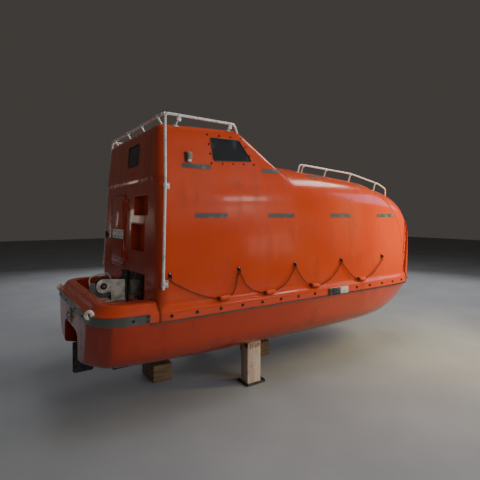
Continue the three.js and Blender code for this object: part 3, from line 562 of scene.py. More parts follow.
# Tables that the mouldings are laid on, between whose rows the form runs smoothly
def between_rows(table, x):
    """The row at x of a table sorted by its first column, eased without overshoot"""
    data = np.array(table, float)
    xs = data[:, 0]
    x = min(max(x, xs[0]), xs[-1])
    i = min(max(int(np.searchsorted(xs, x)) - 1, 0), len(xs) - 2)
    slopes = np.diff(data, axis=0) / np.diff(xs)[:, None]
    a, b = slopes[:-1], slopes[1:]
    total = np.where(np.abs(a + b) < 1e-9, 1e-9, a + b)
    tangents = [slopes[0], *np.where(a * b > 0, 2 * a * b / total, 0), slopes[-1]]
    h = xs[i + 1] - xs[i]
    s = (x - xs[i]) / h
    row = (
        (2 * s**3 - 3 * s**2 + 1) * data[i]
        + (s**3 - 2 * s**2 + s) * h * tangents[i]
        + (3 * s**2 - 2 * s**3) * data[i + 1]
        + (s**3 - s**2) * h * tangents[i + 1]
    )
    return [x, *row[1:]]


FLANGE_LOW = 0.98
FLANGE_HIGH = 1.07
WALL = 0.02
# x, base, foot, cheek, cheek height, roof edge, roof edge height, crown height, lean
CANOPY = (
    (-1.900, 1.098, 0.985, 0.930, 2.06, 0.56, 2.560, 2.600, 0.028),
    (-1.880, 1.098, 1.030, 0.975, 2.06, 0.59, 2.590, 2.640, 0.024),
    (-1.835, 1.099, 1.053, 0.996, 2.07, 0.61, 2.610, 2.670, 0.014),
    (-1.780, 1.100, 1.060, 1.000, 2.08, 0.62, 2.620, 2.680, 0),
    (-0.300, 1.100, 1.060, 1.000, 2.12, 0.62, 2.638, 2.700, 0),
    (0.350, 1.100, 1.060, 1.000, 2.11, 0.62, 2.598, 2.662, 0),
    (1.200, 1.100, 1.058, 0.995, 2.07, 0.62, 2.530, 2.592, 0),
    (1.700, 1.087, 1.045, 0.980, 2.00, 0.60, 2.462, 2.525, 0),
    (1.900, 1.075, 1.032, 0.975, 1.94, 0.59, 2.425, 2.486, 0),
    (2.100, 1.050, 1.018, 0.975, 1.86, 0.575, 2.370, 2.430, 0),
    (2.250, 0.990, 0.985, 0.968, 1.78, 0.55, 2.300, 2.360, 0),
    (2.380, 0.880, 0.905, 0.925, 1.69, 0.49, 2.170, 2.230, 0),
    (2.450, 0.720, 0.780, 0.820, 1.62, 0.41, 2.030, 2.085, 0),
    (2.500, 0.450, 0.540, 0.600, 1.50, 0.29, 1.850, 1.890, 0),
)


def canopy_ring(x, inset, low, steps):
    x, base, foot, cheek, cheek_z, roof_y, roof_z, crown, lean = between_rows(CANOPY, x)
    sill = FLANGE_HIGH + 0.045
    half = [(base - inset, low), (base - inset, FLANGE_HIGH), (foot - inset, sill)]
    for s in np.linspace(0, 1, steps + 1)[1:-1]:
        side = (1 - s) * foot + s * cheek + 4 * s * (1 - s) * 0.008
        half.append((side - inset, sill + s * (cheek_z - sill)))
    shoulder = arc((cheek, cheek_z), (cheek - 0.015, roof_z - 0.04), (roof_y, roof_z), 2 * steps)
    for s, (y, z) in zip(np.linspace(0, 1, 2 * steps + 1), shoulder):
        half.append((y - inset * (1 - 0.4 * s), z - inset * s))
    for s in np.linspace(1, 0, steps + 1)[1:-1]:
        half.append(((roof_y - inset * 0.6) * s, crown - (crown - roof_z) * s * s - inset))
    ring = [(-y, z) for y, z in half] + [(0, crown - inset)] + half[::-1]
    return [(x + lean * max(0, z - FLANGE_HIGH), y, z) for y, z in ring]


def canopy_form(inset, low, fine=True):
    aft, middle, bow = (7, 42, 18) if fine else (3, 12, 7)
    parts = ((-1.9, -1.78, aft), (-1.78, 2.1, middle), (2.1, 2.5, bow))
    stations = [-1.9] + [x for part in parts for x in np.linspace(*part)[1:]]
    return skin([canopy_ring(x, inset, low, 8 if fine else 3) for x in stations])


RAKE_X = 2.16
RAKE_SLOPE = 190 / 820


def rake(z):
    return RAKE_X + (z - FLANGE_LOW) * RAKE_SLOPE


def behind_rake(offset):
    low, high = 0.7, 3.3
    outline = [(-2.6, low), (rake(low) + offset, low), (rake(high) + offset, high), (-2.6, high)]
    return slab("side", outline, -1.3, 1.3)


# The bow shoulders: aft of this crease, in side view, the canopy stands proud by a step
CREASE = (
    (2.185, 0.7), (2.16, 1.2), (2.12, 1.6), (2.07, 1.85), (1.94, 2.08), (1.78, 2.25), (1.56, 2.38),
    (1.35, 2.8),
)
SHOULDER_STEP = 0.022

# height, aft, half breadth aft, half breadth forward, corner
TOWER = (
    (2.200, -1.835, 0.988, 0.984, 0.12),
    (2.330, -1.845, 0.970, 0.966, 0.12),
    (2.400, -1.874, 0.962, 0.957, 0.12),
    (2.500, -1.868, 0.946, 0.944, 0.11),
    (2.900, -1.838, 0.890, 0.890, 0.09),
    (2.945, -1.828, 0.872, 0.872, 0.08),
    (2.965, -1.795, 0.835, 0.835, 0.07),
)
SCREEN_X, SCREEN_Z, SCREEN_RUN = -0.395, 2.64, 530 / 360
ROOF_TILT = 0.038


def tower_ring(row, inset, drop, steps):
    z, aft, aft_half, front_half, corner = row
    front = SCREEN_X + (SCREEN_Z - z) * SCREEN_RUN - inset * 1.6
    corners = [
        (aft + inset, -(aft_half - inset), corner - inset),
        (front, -(front_half - inset), corner),
        (front, front_half - inset, corner),
        (aft + inset, aft_half - inset, corner - inset),
    ]
    tilt = ROOF_TILT if z > 2.6 else 0
    return [(x, y, z - drop + tilt * (x + 1.33)) for x, y in softened(corners, steps)]


def tower_form(inset, steps):
    drops = [2 * inset, 0, 0, 0, inset, inset, inset]
    return skin([tower_ring(row, inset, drop, steps) for row, drop in zip(TOWER, drops)])


def cast(piece, voxel, rounds):
    """Rounds a form the way a moulding comes off its mould: no edge or inner corner stays sharp"""
    shape_with(piece, "REMESH", mode="VOXEL", voxel_size=voxel)
    return shape_with(piece, "SMOOTH", factor=0.5, iterations=rounds)


def canopy_body(inset, fine):
    low = 0.86 if fine else 0.92
    end = -0.0003 - inset
    full = carve(canopy_form(inset, low, fine), behind_rake(end), "INTERSECT")
    ahead = slab("side", [*CREASE, (2.9, 2.8), (2.9, 0.7)], -1.3, 1.3)
    ahead.data.transform(Matrix.Translation((-1.5 * inset, 0, 0)))
    carve(full, ahead)
    stepped = carve(canopy_form(inset + SHOULDER_STEP, low, fine), behind_rake(end), "INTERSECT")
    return carve(carve(full, stepped, "UNION"), tower_form(inset, 8 if fine else 3), "UNION")


# The well in the bow for the forward hook: its aft wall, half breadth and floor
BOW_WELL_X, BOW_WELL_HALF, BOW_WELL_FLOOR = 1.93, 0.34, 1.2


def bow_well(grow=0.0):
    low = (BOW_WELL_X - grow, -BOW_WELL_HALF - grow, BOW_WELL_FLOOR - grow)
    return block(low, (2.7, BOW_WELL_HALF + grow, 2.9))


def wall_x(z):
    return -1.9 + 0.028 * (z - FLANGE_HIGH)


def wall_slab(near, far, low, high, y0, y1, bevel=0.0):
    outline = [(wall_x(low) + near, low), (wall_x(low) + far, low), (wall_x(high) + far, high)]
    return slab("side", outline + [(wall_x(high) + near, high)], y0, y1, bevel, 3)


DOOR_Y = (0.04, 0.64)
DOOR_Z = (1.4, 2.25)
SIDE_WINDOW = ((-1.239, 2.848), (-0.866, 2.854), (-0.711, 2.628), (-1.210, 2.600))
AFT_WINDOW = ((-0.355, 2.565), (0.0, 2.565), (0.0, 2.8), (-0.355, 2.8))
SCREEN_WINDOW = ((0.06, 2.7), (0.64, 2.7), (0.69, 2.9), (0.06, 2.9))
# y from, y to, top, height
STEPS = ((-0.620, -0.160, 1.91, 0.30), (-0.700, -0.255, 2.22, 0.22))
HATCH_X = (-1.48, -1.02)
HATCH_HALF = 0.24
BOW_HATCH_HALF = 0.25
BOW_HATCH_Z = (1.56, 2.06)

# View, outline, from, to and corner radius of each opening through the canopy
HOLES = (
    ("end", rectangle(DOOR_Y, DOOR_Z), -1.99, -1.75, 0.09),
    ("side", SIDE_WINDOW, -1.2, -0.7, 0.025),
    ("side", SIDE_WINDOW, 0.7, 1.2, 0.025),
    ("end", SCREEN_WINDOW, -1.15, 0, 0.025),
    ("end", [(-y, z) for y, z in reversed(SCREEN_WINDOW)], -1.15, 0, 0.025),
    ("end", AFT_WINDOW, -1.95, -1.75, 0.025),
    ("plan", rectangle(HATCH_X, (-HATCH_HALF, HATCH_HALF)), 2.8, 3.1, 0.06),
    ("end", rectangle((-BOW_HATCH_HALF, BOW_HATCH_HALF), BOW_HATCH_Z), 1.85, 2.01, 0.07),
)


# Finding places on the mouldings
def struck(shell, start, way, otherwise):
    """The place and outward direction where a line from a start meets a moulding"""
    found, place, normal, _ = shell.ray_cast(Vector(start), Vector(way))
    return (place, normal) if found else (Vector(otherwise), -Vector(way))


def on_side(shell, x, z, sign):
    return struck(shell, (x, 1.6 * sign, z), (0, -sign, 0), (x, 1.05 * sign, z))


def on_wall(shell, y, z):
    return struck(shell, (-2.6, y, z), (1, 0, 0), (wall_x(z), y, z))


def on_top(shell, x, y):
    return struck(shell, (x, y, 3.4), (0, 0, -1), (x, y, 2.9))


def flat_line(corners, steps):
    """Points close together along a line of corners"""
    points = []
    for a, b in zip(corners, corners[1:]):
        points += [tuple(np.array(a) + (np.array(b) - np.array(a)) * k / steps) for k in range(steps)]
    return points + [corners[-1]]


def build_canopy():
    shell = canopy_body(0.0, True)
    carve(shell, bow_well())
    cast(shell, 0.0185, 5)
    for y0, y1, top, tall in STEPS:
        carve(shell, wall_slab(-0.06, 0.09, top - tall, top, y0, y1, 0.018))
    carve(shell, block((-2.6, -1.3, 0.7), (2.7, 1.3, FLANGE_LOW)))
    carve(shell, behind_rake(-0.0003), "INTERSECT")
    inner = canopy_body(WALL, False)
    carve(inner, wall_slab(-0.8, WALL, 0.5, 3.2, -1.3, 1.3))
    carve(inner, bow_well(WALL))
    for y0, y1, top, tall in STEPS:
        carve(inner, wall_slab(-0.2, 0.11, top - tall - 0.02, top + 0.02, y0 - 0.02, y1 + 0.02))
    carve(shell, inner)
    for view, corners, low, high, radius in HOLES:
        carve(shell, slab(view, evenly(corners, radius, 4), low, high))
    for _, sign in SIDES:
        fold = [on_side(shell, x, z, sign)[0] for x, z in flat_line(CREASE[1:-1], 10)]
        carve(shell, tube(fold, 0.0085, 8))
        seam = [on_side(shell, rake(z) - 0.085, z, sign)[0] for z in np.linspace(1.13, 1.9, 14)]
        carve(shell, tube(seam, 0.015, 10))
    nodes = ("canopy", "steering_tower", "canopy_bow")
    return hand_over(smoothed(shell, 40), "canopy_shell", ORANGE, *nodes)


# x, half breadth, keel, bilge breadth, bilge height
HULL = (
    (-2.500, 0.760, 0.450, 0.690, 0.560),
    (-2.420, 0.900, 0.441, 0.830, 0.546),
    (-2.335, 1.045, 0.427, 0.950, 0.538),
    (-2.200, 1.080, 0.405, 0.980, 0.530),
    (-1.900, 1.095, 0.365, 0.995, 0.518),
    (-1.000, 1.100, 0.315, 1.000, 0.502),
    (0.100, 1.100, 0.300, 1.000, 0.500),
    (1.100, 1.100, 0.312, 0.985, 0.502),
    (1.600, 1.090, 0.340, 0.940, 0.512),
    (1.900, 1.075, 0.385, 0.870, 0.540),
    (2.100, 1.050, 0.460, 0.810, 0.600),
    (2.250, 0.990, 0.575, 0.740, 0.695),
    (2.380, 0.880, 0.735, 0.640, 0.812),
    (2.450, 0.720, 0.850, 0.520, 0.890),
    (2.500, 0.450, 0.940, 0.320, 0.950),
)
STERN_CORNER = 0.3
HULL_TOP = FLANGE_LOW - 0.0003


def hull_ring(x):
    x, breadth, keel, bilge_y, bilge_z = between_rows(HULL, x)
    first = np.array((bilge_y * 0.7, keel + (bilge_z - keel) * 0.7))
    last = np.array((bilge_y + (breadth - bilge_y) * 0.5, bilge_z + (FLANGE_LOW - bilge_z) * 0.5))
    edge = np.array((breadth, HULL_TOP))
    half = [(first[0] * s, keel + (first[1] - keel) * s) for s in np.linspace(0, 1, 5)[1:-1]]
    half += arc(first, (bilge_y, bilge_z), last, 14)
    half += [last + (edge - last) * s for s in np.linspace(0, 1, 5)[1:]]
    half.append((breadth, HULL_TOP + 0.08))
    return [(x, -y, z) for y, z in half[::-1]] + [(x, 0, keel)] + [(x, y, z) for y, z in half]


def build_hull():
    stations = [-2.5, -2.42, -2.335, -2.28, -2.24]
    stations += [*np.linspace(-2.2, 1.9, 34), *np.linspace(1.9, 2.5, 26)[1:]]
    hull = skin([hull_ring(x) for x in stations])
    cast(hull, 0.0165, 5)
    tunnel = [(-0.38, 0.1, 0), (0.38, 0.1, 0), (0.38, 0.8, 0.12), (-0.38, 0.8, 0.12)]
    carve(hull, slab("end", softened(tunnel, 6), -2.6, -2.05))
    well = [(-1.8, -0.86, 0.15), (1.8, -0.86, 0.25), (1.8, 0.86, 0.25), (-1.8, 0.86, 0.15)]
    carve(hull, slab("plan", softened(well, 6), 0.62, 1.3))
    carve(hull, block((-2.7, -1.3, HULL_TOP), (2.7, 1.3, 1.4)))
    # The hull takes the darker gelcoat copy, which is painted shade
    return hand_over(smoothed(hull, 40), "hull_moulding", ORANGE_PAINTED_SHADE, "hull")


def build_bow():
    bow = canopy_form(0.0, 0.86)
    carve(bow, block((1.9, -1.3, 0.5), (2.7, 1.3, 2.17)), "INTERSECT")
    carve(bow, bow_well())
    cast(bow, 0.014, 4)
    carve(bow, behind_rake(0.0))
    carve(bow, block((-2.6, -1.3, 0.5), (2.7, 1.3, FLANGE_LOW)))
    return hand_over(smoothed(bow, 40), "bow_shell", ORANGE, "bow_moulding")


# height, inset from the flange's edge
DECK = (
    (0.900, 0), (1.060, 0), (1.070, 0.004), (1.078, 0.02), (1.095, 0.042), (1.130, 0.070),
    (1.148, 0.084), (1.157, 0.096), (1.160, 0.112),
)


def stern_plan(inset, steps=10):
    side, corner = 1.095 - inset, STERN_CORNER + 0.06 - inset
    corners = [
        (-2.5 + inset, -side + 0.015, corner),
        (-1.7, -side, 0),
        (-1.7, side, 0),
        (-2.5 + inset, side - 0.015, corner),
    ]
    return softened(corners, steps)


def build_deck():
    deck = skin([[(x, y, z) for x, y in stern_plan(inset)] for z, inset in DECK])
    cast(deck, 0.012, 4)
    carve(deck, block((-1.9003, -1.3, 0.5), (-1.5, 1.3, 1.5)))
    carve(deck, block((-2.7, -1.3, 0.5), (-1.5, 1.3, FLANGE_LOW)))
    floor = [(-2.32, -0.85, 0.24), (-1.7, -0.85, 0), (-1.7, 0.85, 0), (-2.32, 0.85, 0.24)]
    carve(deck, slab("plan", softened(floor, 8), 1.01, 1.4, 0.018, 3))
    return hand_over(smoothed(deck, 40), "deck_moulding", ORANGE, "aft_deck")


canopy_shell = build_canopy()
hull_moulding = build_hull()
bow_shell = build_bow()
build_deck()


# Setting many like pieces on the mouldings
def strewn(master, seats, sink=0.0005):
    """Copies of one small shape stood on many seats (place, direction), joined to one piece"""
    made = []
    for i, (place, normal) in enumerate(seats):
        one = copied(master)
        turn = normal.to_track_quat("Z", "Y").to_matrix().to_4x4()
        spin = Matrix.Rotation(0.7 * i, 4, "Z")
        one.data.transform(Matrix.Translation(place - normal * sink) @ turn @ spin)
        made.append(one)
    bpy.data.objects.remove(master)
    return smoothed(joined(made), 40)


def bolt(radius, height):
    """A hexagon head with a chamfer on a round washer"""
    washer = bar((0, 0, 0), (0, 0, height * 0.28), radius * 1.45, 14)
    head = bar((0, 0, height * 0.2), (0, 0, height), radius, 6, radius * 0.18)
    return joined([washer, head])


def bolts(radius, height, seats, name, finish, **more):
    """One piece of bolt heads or screw heads, stood on their seats"""
    hand_over(strewn(bolt(radius, height), seats), name, finish, **more)


def facing(way, places):
    """Seats at many places that all face one way"""
    return [(Vector(place), Vector(way)) for place in places]


def pair(foot, normal, away):
    """The seats of two screws through a plate on a foot, one to each side"""
    return [(foot + normal * 0.005 + Vector(away) * way, normal) for way in (-1, 1)]


def block_on(sign, low, high, *bevel):
    """A block given at the port side, or at its mirrored place to starboard"""
    y0, y1 = sorted((low[1] * sign, high[1] * sign))
    return block((low[0], y0, low[2]), (high[0], y1, high[2]), *bevel)


def refined(name, width, segments=2):
    """A frame node's own shape with its edges broken as a real casting or cut plate has them"""
    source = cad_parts[name]
    piece = copied(source)
    piece.parent = None
    piece.matrix_world = Matrix.Identity(4)
    piece.data.transform(source.matrix_world)
    choose(piece)
    bpy.ops.object.mode_set(mode="EDIT")
    bpy.ops.mesh.select_all(action="SELECT")
    bpy.ops.mesh.remove_doubles(threshold=1e-5)
    bpy.ops.mesh.dissolve_limited(angle_limit=math.radians(1.5))
    bpy.ops.object.mode_set(mode="OBJECT")
    rounded(piece, width, segments)
    return smoothed(piece, 38)


def dress(node, width, name, finish, segments=2, body="boat"):
    """The refined shape of a node, handed over in its place"""
    hand_over(refined(node, width, segments), name, finish, node, body=body)


def flat_plate(place, normal, wide, tall, thick, bevel=0.004):
    """A small plate lying on a surface, its width level"""
    side = Vector((0, 0, 1)).cross(normal).normalized()
    up = normal.cross(side).normalized()
    turn = Matrix((side, up, normal)).transposed().to_4x4()
    made = block((-wide / 2, -tall / 2, 0), (wide / 2, tall / 2, thick), bevel, 2)
    made.data.transform(Matrix.Translation(place) @ turn)
    return made


# Bolts that clamp the canopy to the hull, down the raked joint, and round the windows
FLANGE_BOLTS = (
    -1.776, -1.499, -1.220, -0.944, -0.676, -0.403, -0.130, 0.143, 0.933, 1.206, 1.484, 1.744, 1.995,
)
BOW_BOLTS = (2.235, 2.36, 2.44)
FLANGE_MIDDLE = 1.024
WINDOW_BOLTS = (3, 3, 4, 3)


def offset(corners, by):
    middle = np.mean(np.array(corners), axis=0)
    return [(a + by * np.sign(a - middle[0]), b + by * np.sign(b - middle[1])) for a, b in corners]


def along_edges(corners, counts):
    """Points along the edges of an outline, so many to each edge"""
    points = []
    for i, count in enumerate(counts):
        first, last = np.array(corners[i]), np.array(corners[(i + 1) % len(corners)])
        points += [tuple(first + (last - first) * k / count) for k in range(count)]
    return points


def fit_bolts():
    seats = []
    for _, sign in SIDES:
        seats += [on_side(canopy_shell, x, FLANGE_MIDDLE, sign) for x in FLANGE_BOLTS]
        seats += [on_side(bow_shell, x, FLANGE_MIDDLE, sign) for x in BOW_BOLTS]
    bolts(0.0125, 0.011, seats, "flange_bolts", FASTENER)
    seats = []
    for _, sign in SIDES:
        places = [(rake(z) - 0.045, z) for z in np.linspace(1.13, 1.86, 6)]
        places += along_edges(offset(SIDE_WINDOW, 0.034), WINDOW_BOLTS)
        seats += [on_side(canopy_shell, x, z, sign) for x, z in places]
    bolts(0.0085, 0.008, seats, "window_bolts", FASTENER)
    seats = []
    for _, sign in SIDES:
        for y, z in along_edges(offset(SCREEN_WINDOW, 0.03), (4, 3, 4, 3)):
            start = Vector((1.0, y * sign, z))
            found, place, normal, _ = canopy_shell.ray_cast(start, Vector((-1, 0, 0)))
            if found:
                seats.append((place, normal))
    bolts(0.0085, 0.008, seats, "screen_bolts", FASTENER)


# Reflective tapes: x from, x to, height of the middle
TAPES = (
    (-1.600, -1.260, 2.520), (-0.570, -0.250, 2.530), (0.250, 0.620, 2.530), (1.240, 1.600, 2.470),
    (-1.480, -1.090, 2.000), (-0.520, -0.120, 2.000), (0.510, 0.910, 2.000), (1.510, 1.930, 2.000),
)


def lay_tape(shell, x0, x1, z, sign):
    columns, rows, tall = 18, 5, 0.05
    places = []
    for k in range(rows):
        for x in np.linspace(x0, x1, columns + 1):
            middle, normal = on_side(shell, x, z, sign)
            up = normal.cross(Vector((1, 0, 0))).normalized()
            up = up if up.z > 0 else -up
            beside = middle + up * tall * (k / (rows - 1) - 0.5)
            _, place, out, _ = shell.closest_point_on_mesh(beside)
            places.append(place + out * 0.0008)
    tape = laid_grid(np.array(places).reshape(rows, columns + 1, 3))
    shape_with(tape, "SOLIDIFY", thickness=0.0014, offset=0.0)
    return smoothed(tape, 30)


def lay_tapes():
    for word, sign in SIDES:
        strips = [lay_tape(canopy_shell, x0, x1, z, sign) for x0, x1, z in TAPES]
        strips.append(lay_tape(bow_shell, 2.335, 2.43, 1.86, sign))
        hand_over(joined(strips), "tapes_" + word, TAPE)


# Eyes, shackles and lamps on the canopy
EYE_HIGH = 1.412


def eye_and_shackle(x, sign):
    place, normal = on_side(canopy_shell, x, EYE_HIGH, sign)
    pad = flat_plate(place, normal, 0.036, 0.046, 0.005)
    neck = bar(place, place + Vector((0, 0.030 * sign, -0.004)), 0.007, 12)
    y = place.y + 0.018 * sign
    turn = np.linspace(0, 2 * math.pi, 19)[:-1]
    ring = tube([(x, y + 0.014 * math.cos(a), 1.403 + 0.014 * math.sin(a)) for a in turn], 0.0042, 8, True)
    y += 0.002 * sign
    bow = [(x + 0.011 * math.cos(a), y, 1.375 + 0.013 * math.sin(a)) for a in turn[9:]]
    shackle = tube([(x - 0.011, y, 1.398), *bow, (x + 0.011, y, 1.398)], 0.0036, 8)
    pin = bar((x - 0.019, y, 1.398), (x + 0.019, y, 1.398), 0.0042, 10)
    return [pad, neck, ring, shackle, pin]


def hang_eyes():
    for word, sign in SIDES:
        pieces = [piece for x in EYES for piece in eye_and_shackle(x, sign)]
        hand_over(smoothed(joined(pieces), 45), "eyes_" + word, FASTENER)
        screws = []
        for x in EYES:
            screws += pair(*on_side(canopy_shell, x, EYE_HIGH, sign), (0, 0, 0.016))
        bolts(0.0045, 0.005, screws, "eye_screws_" + word, STEEL)


def build_lamps():
    for word, sign in SIDES:
        body = block_on(sign, (-1.548, 0.91, 2.578), (-1.490, 0.98, 2.664), 0.018, 4)
        crown = bar((-1.519, 0.91 * sign, 2.64), (-1.519, 0.968 * sign, 2.64), 0.0235, 24, 0.003)
        glow = bar((-1.519, 0.955 * sign, 2.560), (-1.519, 0.955 * sign, 2.585), 0.021, 24, 0.004)
        hand_over([body, crown], "lamp_" + word, LAMP, "side_lamp_" + word)
        hand_over([glow], "lamp_lens_" + word, PLATE, slot="lamp_housing")
        # The dark plate behind the lamp reaches out aft of it and below it: a mounting plate painted dark
        # as the lamp's shadow on the tower
        place, normal = on_side(canopy_shell, -1.524, 2.612, sign)
        foot = flat_plate(place - normal * 0.002, normal, 0.078, 0.108, 0.012, 0.004)
        hand_over([foot], "lamp_shadow_plate_" + word, DARK_STEEL, slot="lamp_housing")


# Clamps and feet of the rails
RISER = ((-1.868, 1.104, 1.290), (-1.818, 1.034, 2.330), (-1.786, 0.950, 3.030))
ROOF_RUN = ((-1.786, 0.950, 3.030), (-0.930, 0.900, 3.036))
CANOPY_RUN = (
    (0.330, 0.612, 2.706), (1.380, 0.610, 2.642), (2.080, 0.588, 2.520), (2.310, 0.555, 2.448),
)


def on_run(run, axis, value):
    """The point of a run of pipe at a value along one axis, and the pipe's direction there"""
    for a, b in zip(run, run[1:]):
        if min(a[axis], b[axis]) - 1e-6 <= value <= max(a[axis], b[axis]) + 1e-6:
            a, b = Vector(a), Vector(b)
            s = (value - a[axis]) / (b[axis] - a[axis])
            return a.lerp(b, s), (b - a).normalized()
    return Vector(run[-1]), (Vector(run[-1]) - Vector(run[-2])).normalized()


def clamp(place, along, foot, normal, radius, wide, tall, lower=0.0):
    """A split clamp round a pipe, its strut to the moulding and the bolted foot"""
    half = along * 0.019
    seat = place - Vector((0, 0, lower))
    ring = bar(seat - half, seat + half, radius + 0.0065, 24, 0.002)
    strut = bar(place, foot, 0.0105, 14)
    plate = flat_plate(foot - normal * 0.002, normal, wide, tall, 0.007, 0.003)
    return [ring, strut, plate]


def clamp_rails():
    for word, sign in SIDES:
        pieces, screws = [], []
        for z in (1.33, 2.3):
            place, along = on_run(to_side(RISER, sign), 2, z)
            foot, normal = on_side(canopy_shell, place.x + 0.055, place.z, sign)
            pieces += clamp(place, along, foot, normal, 0.015, 0.034, 0.07)
            screws += pair(foot, normal, (0, 0, 0.024))
        jobs = [(ROOF_RUN, -1.63, 0.015, 0.083), (ROOF_RUN, -0.99, 0.015, 0.048)]
        jobs += [(CANOPY_RUN, x, 0.012, 0.045) for x in (0.40, 0.85, 1.38, 2.0)]
        for run, x, radius, inboard in jobs:
            place, along = on_run(to_side(run, sign), 0, x)
            foot, normal = on_top(canopy_shell, x, place.y - inboard * sign)
            pieces += clamp(place, along, foot, normal, radius, 0.05, 0.05, 0.0068)
            screws += pair(foot, normal, (0.018, 0, 0))
            if run is ROOF_RUN:
                start, end = (place + Vector((0, y, -0.042)) for y in (-0.008, 0.008))
                pieces.append(bar(start, end, 0.024, 24, 0.003))
        hand_over(smoothed(joined(pieces), 45), "rail_clamps_" + word, STEEL)
        bolts(0.006, 0.006, screws, "rail_screws_" + word, FORGED)
    pieces, screws = [], []
    for y in (-0.78, -0.28, 0.225, 0.78):
        foot, normal = on_top(canopy_shell, -1.752, y)
        place = Vector((-1.8, y, 3.026))
        pieces += clamp(place, Vector((0, 1, 0)), foot, normal, 0.015, 0.05, 0.05, 0.004)
        screws += pair(foot, normal, (0, 0.018, 0))
    for sign in (-1, 1):
        pieces.append(bar((-1.8, 0.905 * sign, 3.026), (-1.786, 0.95 * sign, 3.029), 0.0145, 16))
    hand_over(smoothed(joined(pieces), 45), "top_rail_clamps", STEEL)
    bolts(0.005, 0.005, screws, "top_rail_screws", FORGED)


fit_bolts()
lay_tapes()
hang_eyes()
build_lamps()
clamp_rails()


# Aft door: a raised panel in a moulded frame, with its lock plate, lever and dogs
def build_door():
    swing = "aft_door_body"
    door = refined("aft_door", 0.003, 2)
    raised = slab("end", evenly(rectangle((0.115, 0.565), (1.475, 2.175)), 0.06), -2.0, -1.8)
    carve(raised, wall_slab(-0.019, 0.0, 1.3, 2.4, -0.2, 0.9), "INTERSECT")
    rounded(raised, 0.006, 3)
    hand_over([raised, door], "door_leaf", ORANGE, "aft_door", body=swing)
    plate = wall_slab(-0.027, -0.018, 1.715, 1.828, 0.065, 0.525, 0.003)
    # The dark strip just under the lock plate is painted shadow of the plate on the door
    back = wall_slab(-0.021, -0.008, 1.696, 1.712, 0.07, 0.52, 0.002)
    hand_over([plate], "door_lock_plate", PLATE, body=swing)
    hand_over([back], "door_lock_painted_shadow", DARK_STEEL, body=swing)
    places = [(wall_x(z) - 0.0265, y, z) for y in (0.09, 0.23, 0.36, 0.50) for z in (1.738, 1.803)]
    bolts(0.0075, 0.008, facing((-1, 0, 0.028), places), "door_lock_screws", DARK_STEEL, body=swing)
    x = wall_x(1.8)
    lever = [bar((x - 0.045, 0.55, 1.712), (x - 0.045, 0.55, 1.888), 0.0125, 18, 0.003)]
    lever += [bar((x - 0.02, 0.55, z), (x - 0.009, 0.55, z), 0.022, 20, 0.003) for z in (1.74, 1.86)]
    hand_over(lever, "door_lever", STEEL, body=swing)
    knuckles, leaves = [], []
    for low, high in ((1.5, 1.56), (2.09, 2.15)):
        for a, b in ((low - 0.04, low - 0.0006), (high + 0.0006, high + 0.04)):
            axis = [(wall_x(z) - 0.016, 0.026, z) for z in (a, b)]
            knuckles.append(bar(*axis, 0.0102, 16, 0.0015))
            leaves.append(wall_slab(-0.014, 0.004, a, b, -0.062, 0.022, 0.002))
    hand_over(knuckles + leaves, "door_hinges", ORANGE)
    x = wall_x(1.74)
    dog = [
        wall_slab(-0.008, 0.004, 1.70, 1.80, 0.70, 0.75, 0.003),
        bar((x - 0.04, 0.725, 1.745), (x - 0.004, 0.725, 1.745), 0.017, 20, 0.003),
        block((x - 0.05, 0.715, 1.70), (x - 0.036, 0.78, 1.79), 0.004),
    ]
    hand_over(dog, "door_dog", DARK_STEEL)


# The frame round the door's opening, the lip over each step, and the seal round each window
def seal(corners, meet, *side):
    """A soft seal laid on a moulding just outside the edge of a window"""
    middle = np.mean(np.array(corners), axis=0)
    places = []
    for point in evenly(corners, 0.025):
        away = np.array(point) - middle
        beyond = np.array(point) + 0.006 * (away / np.linalg.norm(away))
        places.append(meet(canopy_shell, *beyond, *side)[0])
    return tube(places, 0.0055, 8, True)


def trim_wall():
    run = evenly(rectangle((0.022, 0.658), (1.382, 2.268)), 0.1, 8)
    pieces = [tube([(wall_x(z) + 0.001, y, z) for y, z in run], 0.011, 12, True)]
    for y0, y1, top in [step[:3] for step in STEPS] + [(-0.2, 0.12, 2.5)]:
        turn = bent_run([(y0, top - 0.07), (y0 + 0.006, top + 0.004), (y1, top + 0.004)], 0.03, 6)
        reach = on_wall(canopy_shell, -0.75, top)[0].x
        pieces.append(tube([(reach + 0.002, y, z) for y, z in turn], 0.009, 10))
    hand_over(joined(pieces), "wall_trim", ORANGE)
    seals = [seal(SIDE_WINDOW, on_side, sign) for _, sign in SIDES] + [seal(AFT_WINDOW, on_wall)]
    hand_over(joined(seals), "window_seals", DARK_STEEL, slot="window_glass")


# Stern band's bolts, the fitting on the flange, hooks, posts and everything under the boat
def band_y(x):
    """Half breadth of the aft deck, which narrows a little towards the stern"""
    return 1.095 + 0.015 * (x + 1.9) / 0.6


def fit_band():
    seats = []
    for _, sign in SIDES:
        places = ((-2.012, 1.046), (-2.012, 1.004), (-2.150, FLANGE_MIDDLE))
        seats += facing((0, sign, 0), [(x, (band_y(x) + 0.0052) * sign, z) for x, z in places])
    seats += facing((-1, 0, 0), [(-2.5053, y, FLANGE_MIDDLE) for y in (-0.62, -0.25, 0.25, 0.62)])
    bolts(0.0105, 0.009, seats, "band_bolts", FASTENER)
    for word, sign in SIDES:
        dress("side_fitting_" + word, 0.003, "side_block_" + word, BLOCK_GREY)
        dark = block_on(sign, (0.382, 1.111, 0.986), (0.568, 1.117, 1.064), 0.003)
        hand_over([dark], "side_plate_" + word, DARK_STEEL)
        places = [(x, 1.116 * sign, z) for x in (0.41, 0.475, 0.54) for z in (1.002, 1.046)]
        bolts(0.0075, 0.012, facing((0, sign, 0), places), "side_plate_bolts_" + word, FORGED)
        spans = ((0.58, 0.63), (0.65, 0.7))
        pads = [block_on(sign, (a, 1.136, 0.996), (b, 1.1395, 1.054), 0.0015) for a, b in spans]
        hand_over(pads, "side_pads_" + word, FORGED)


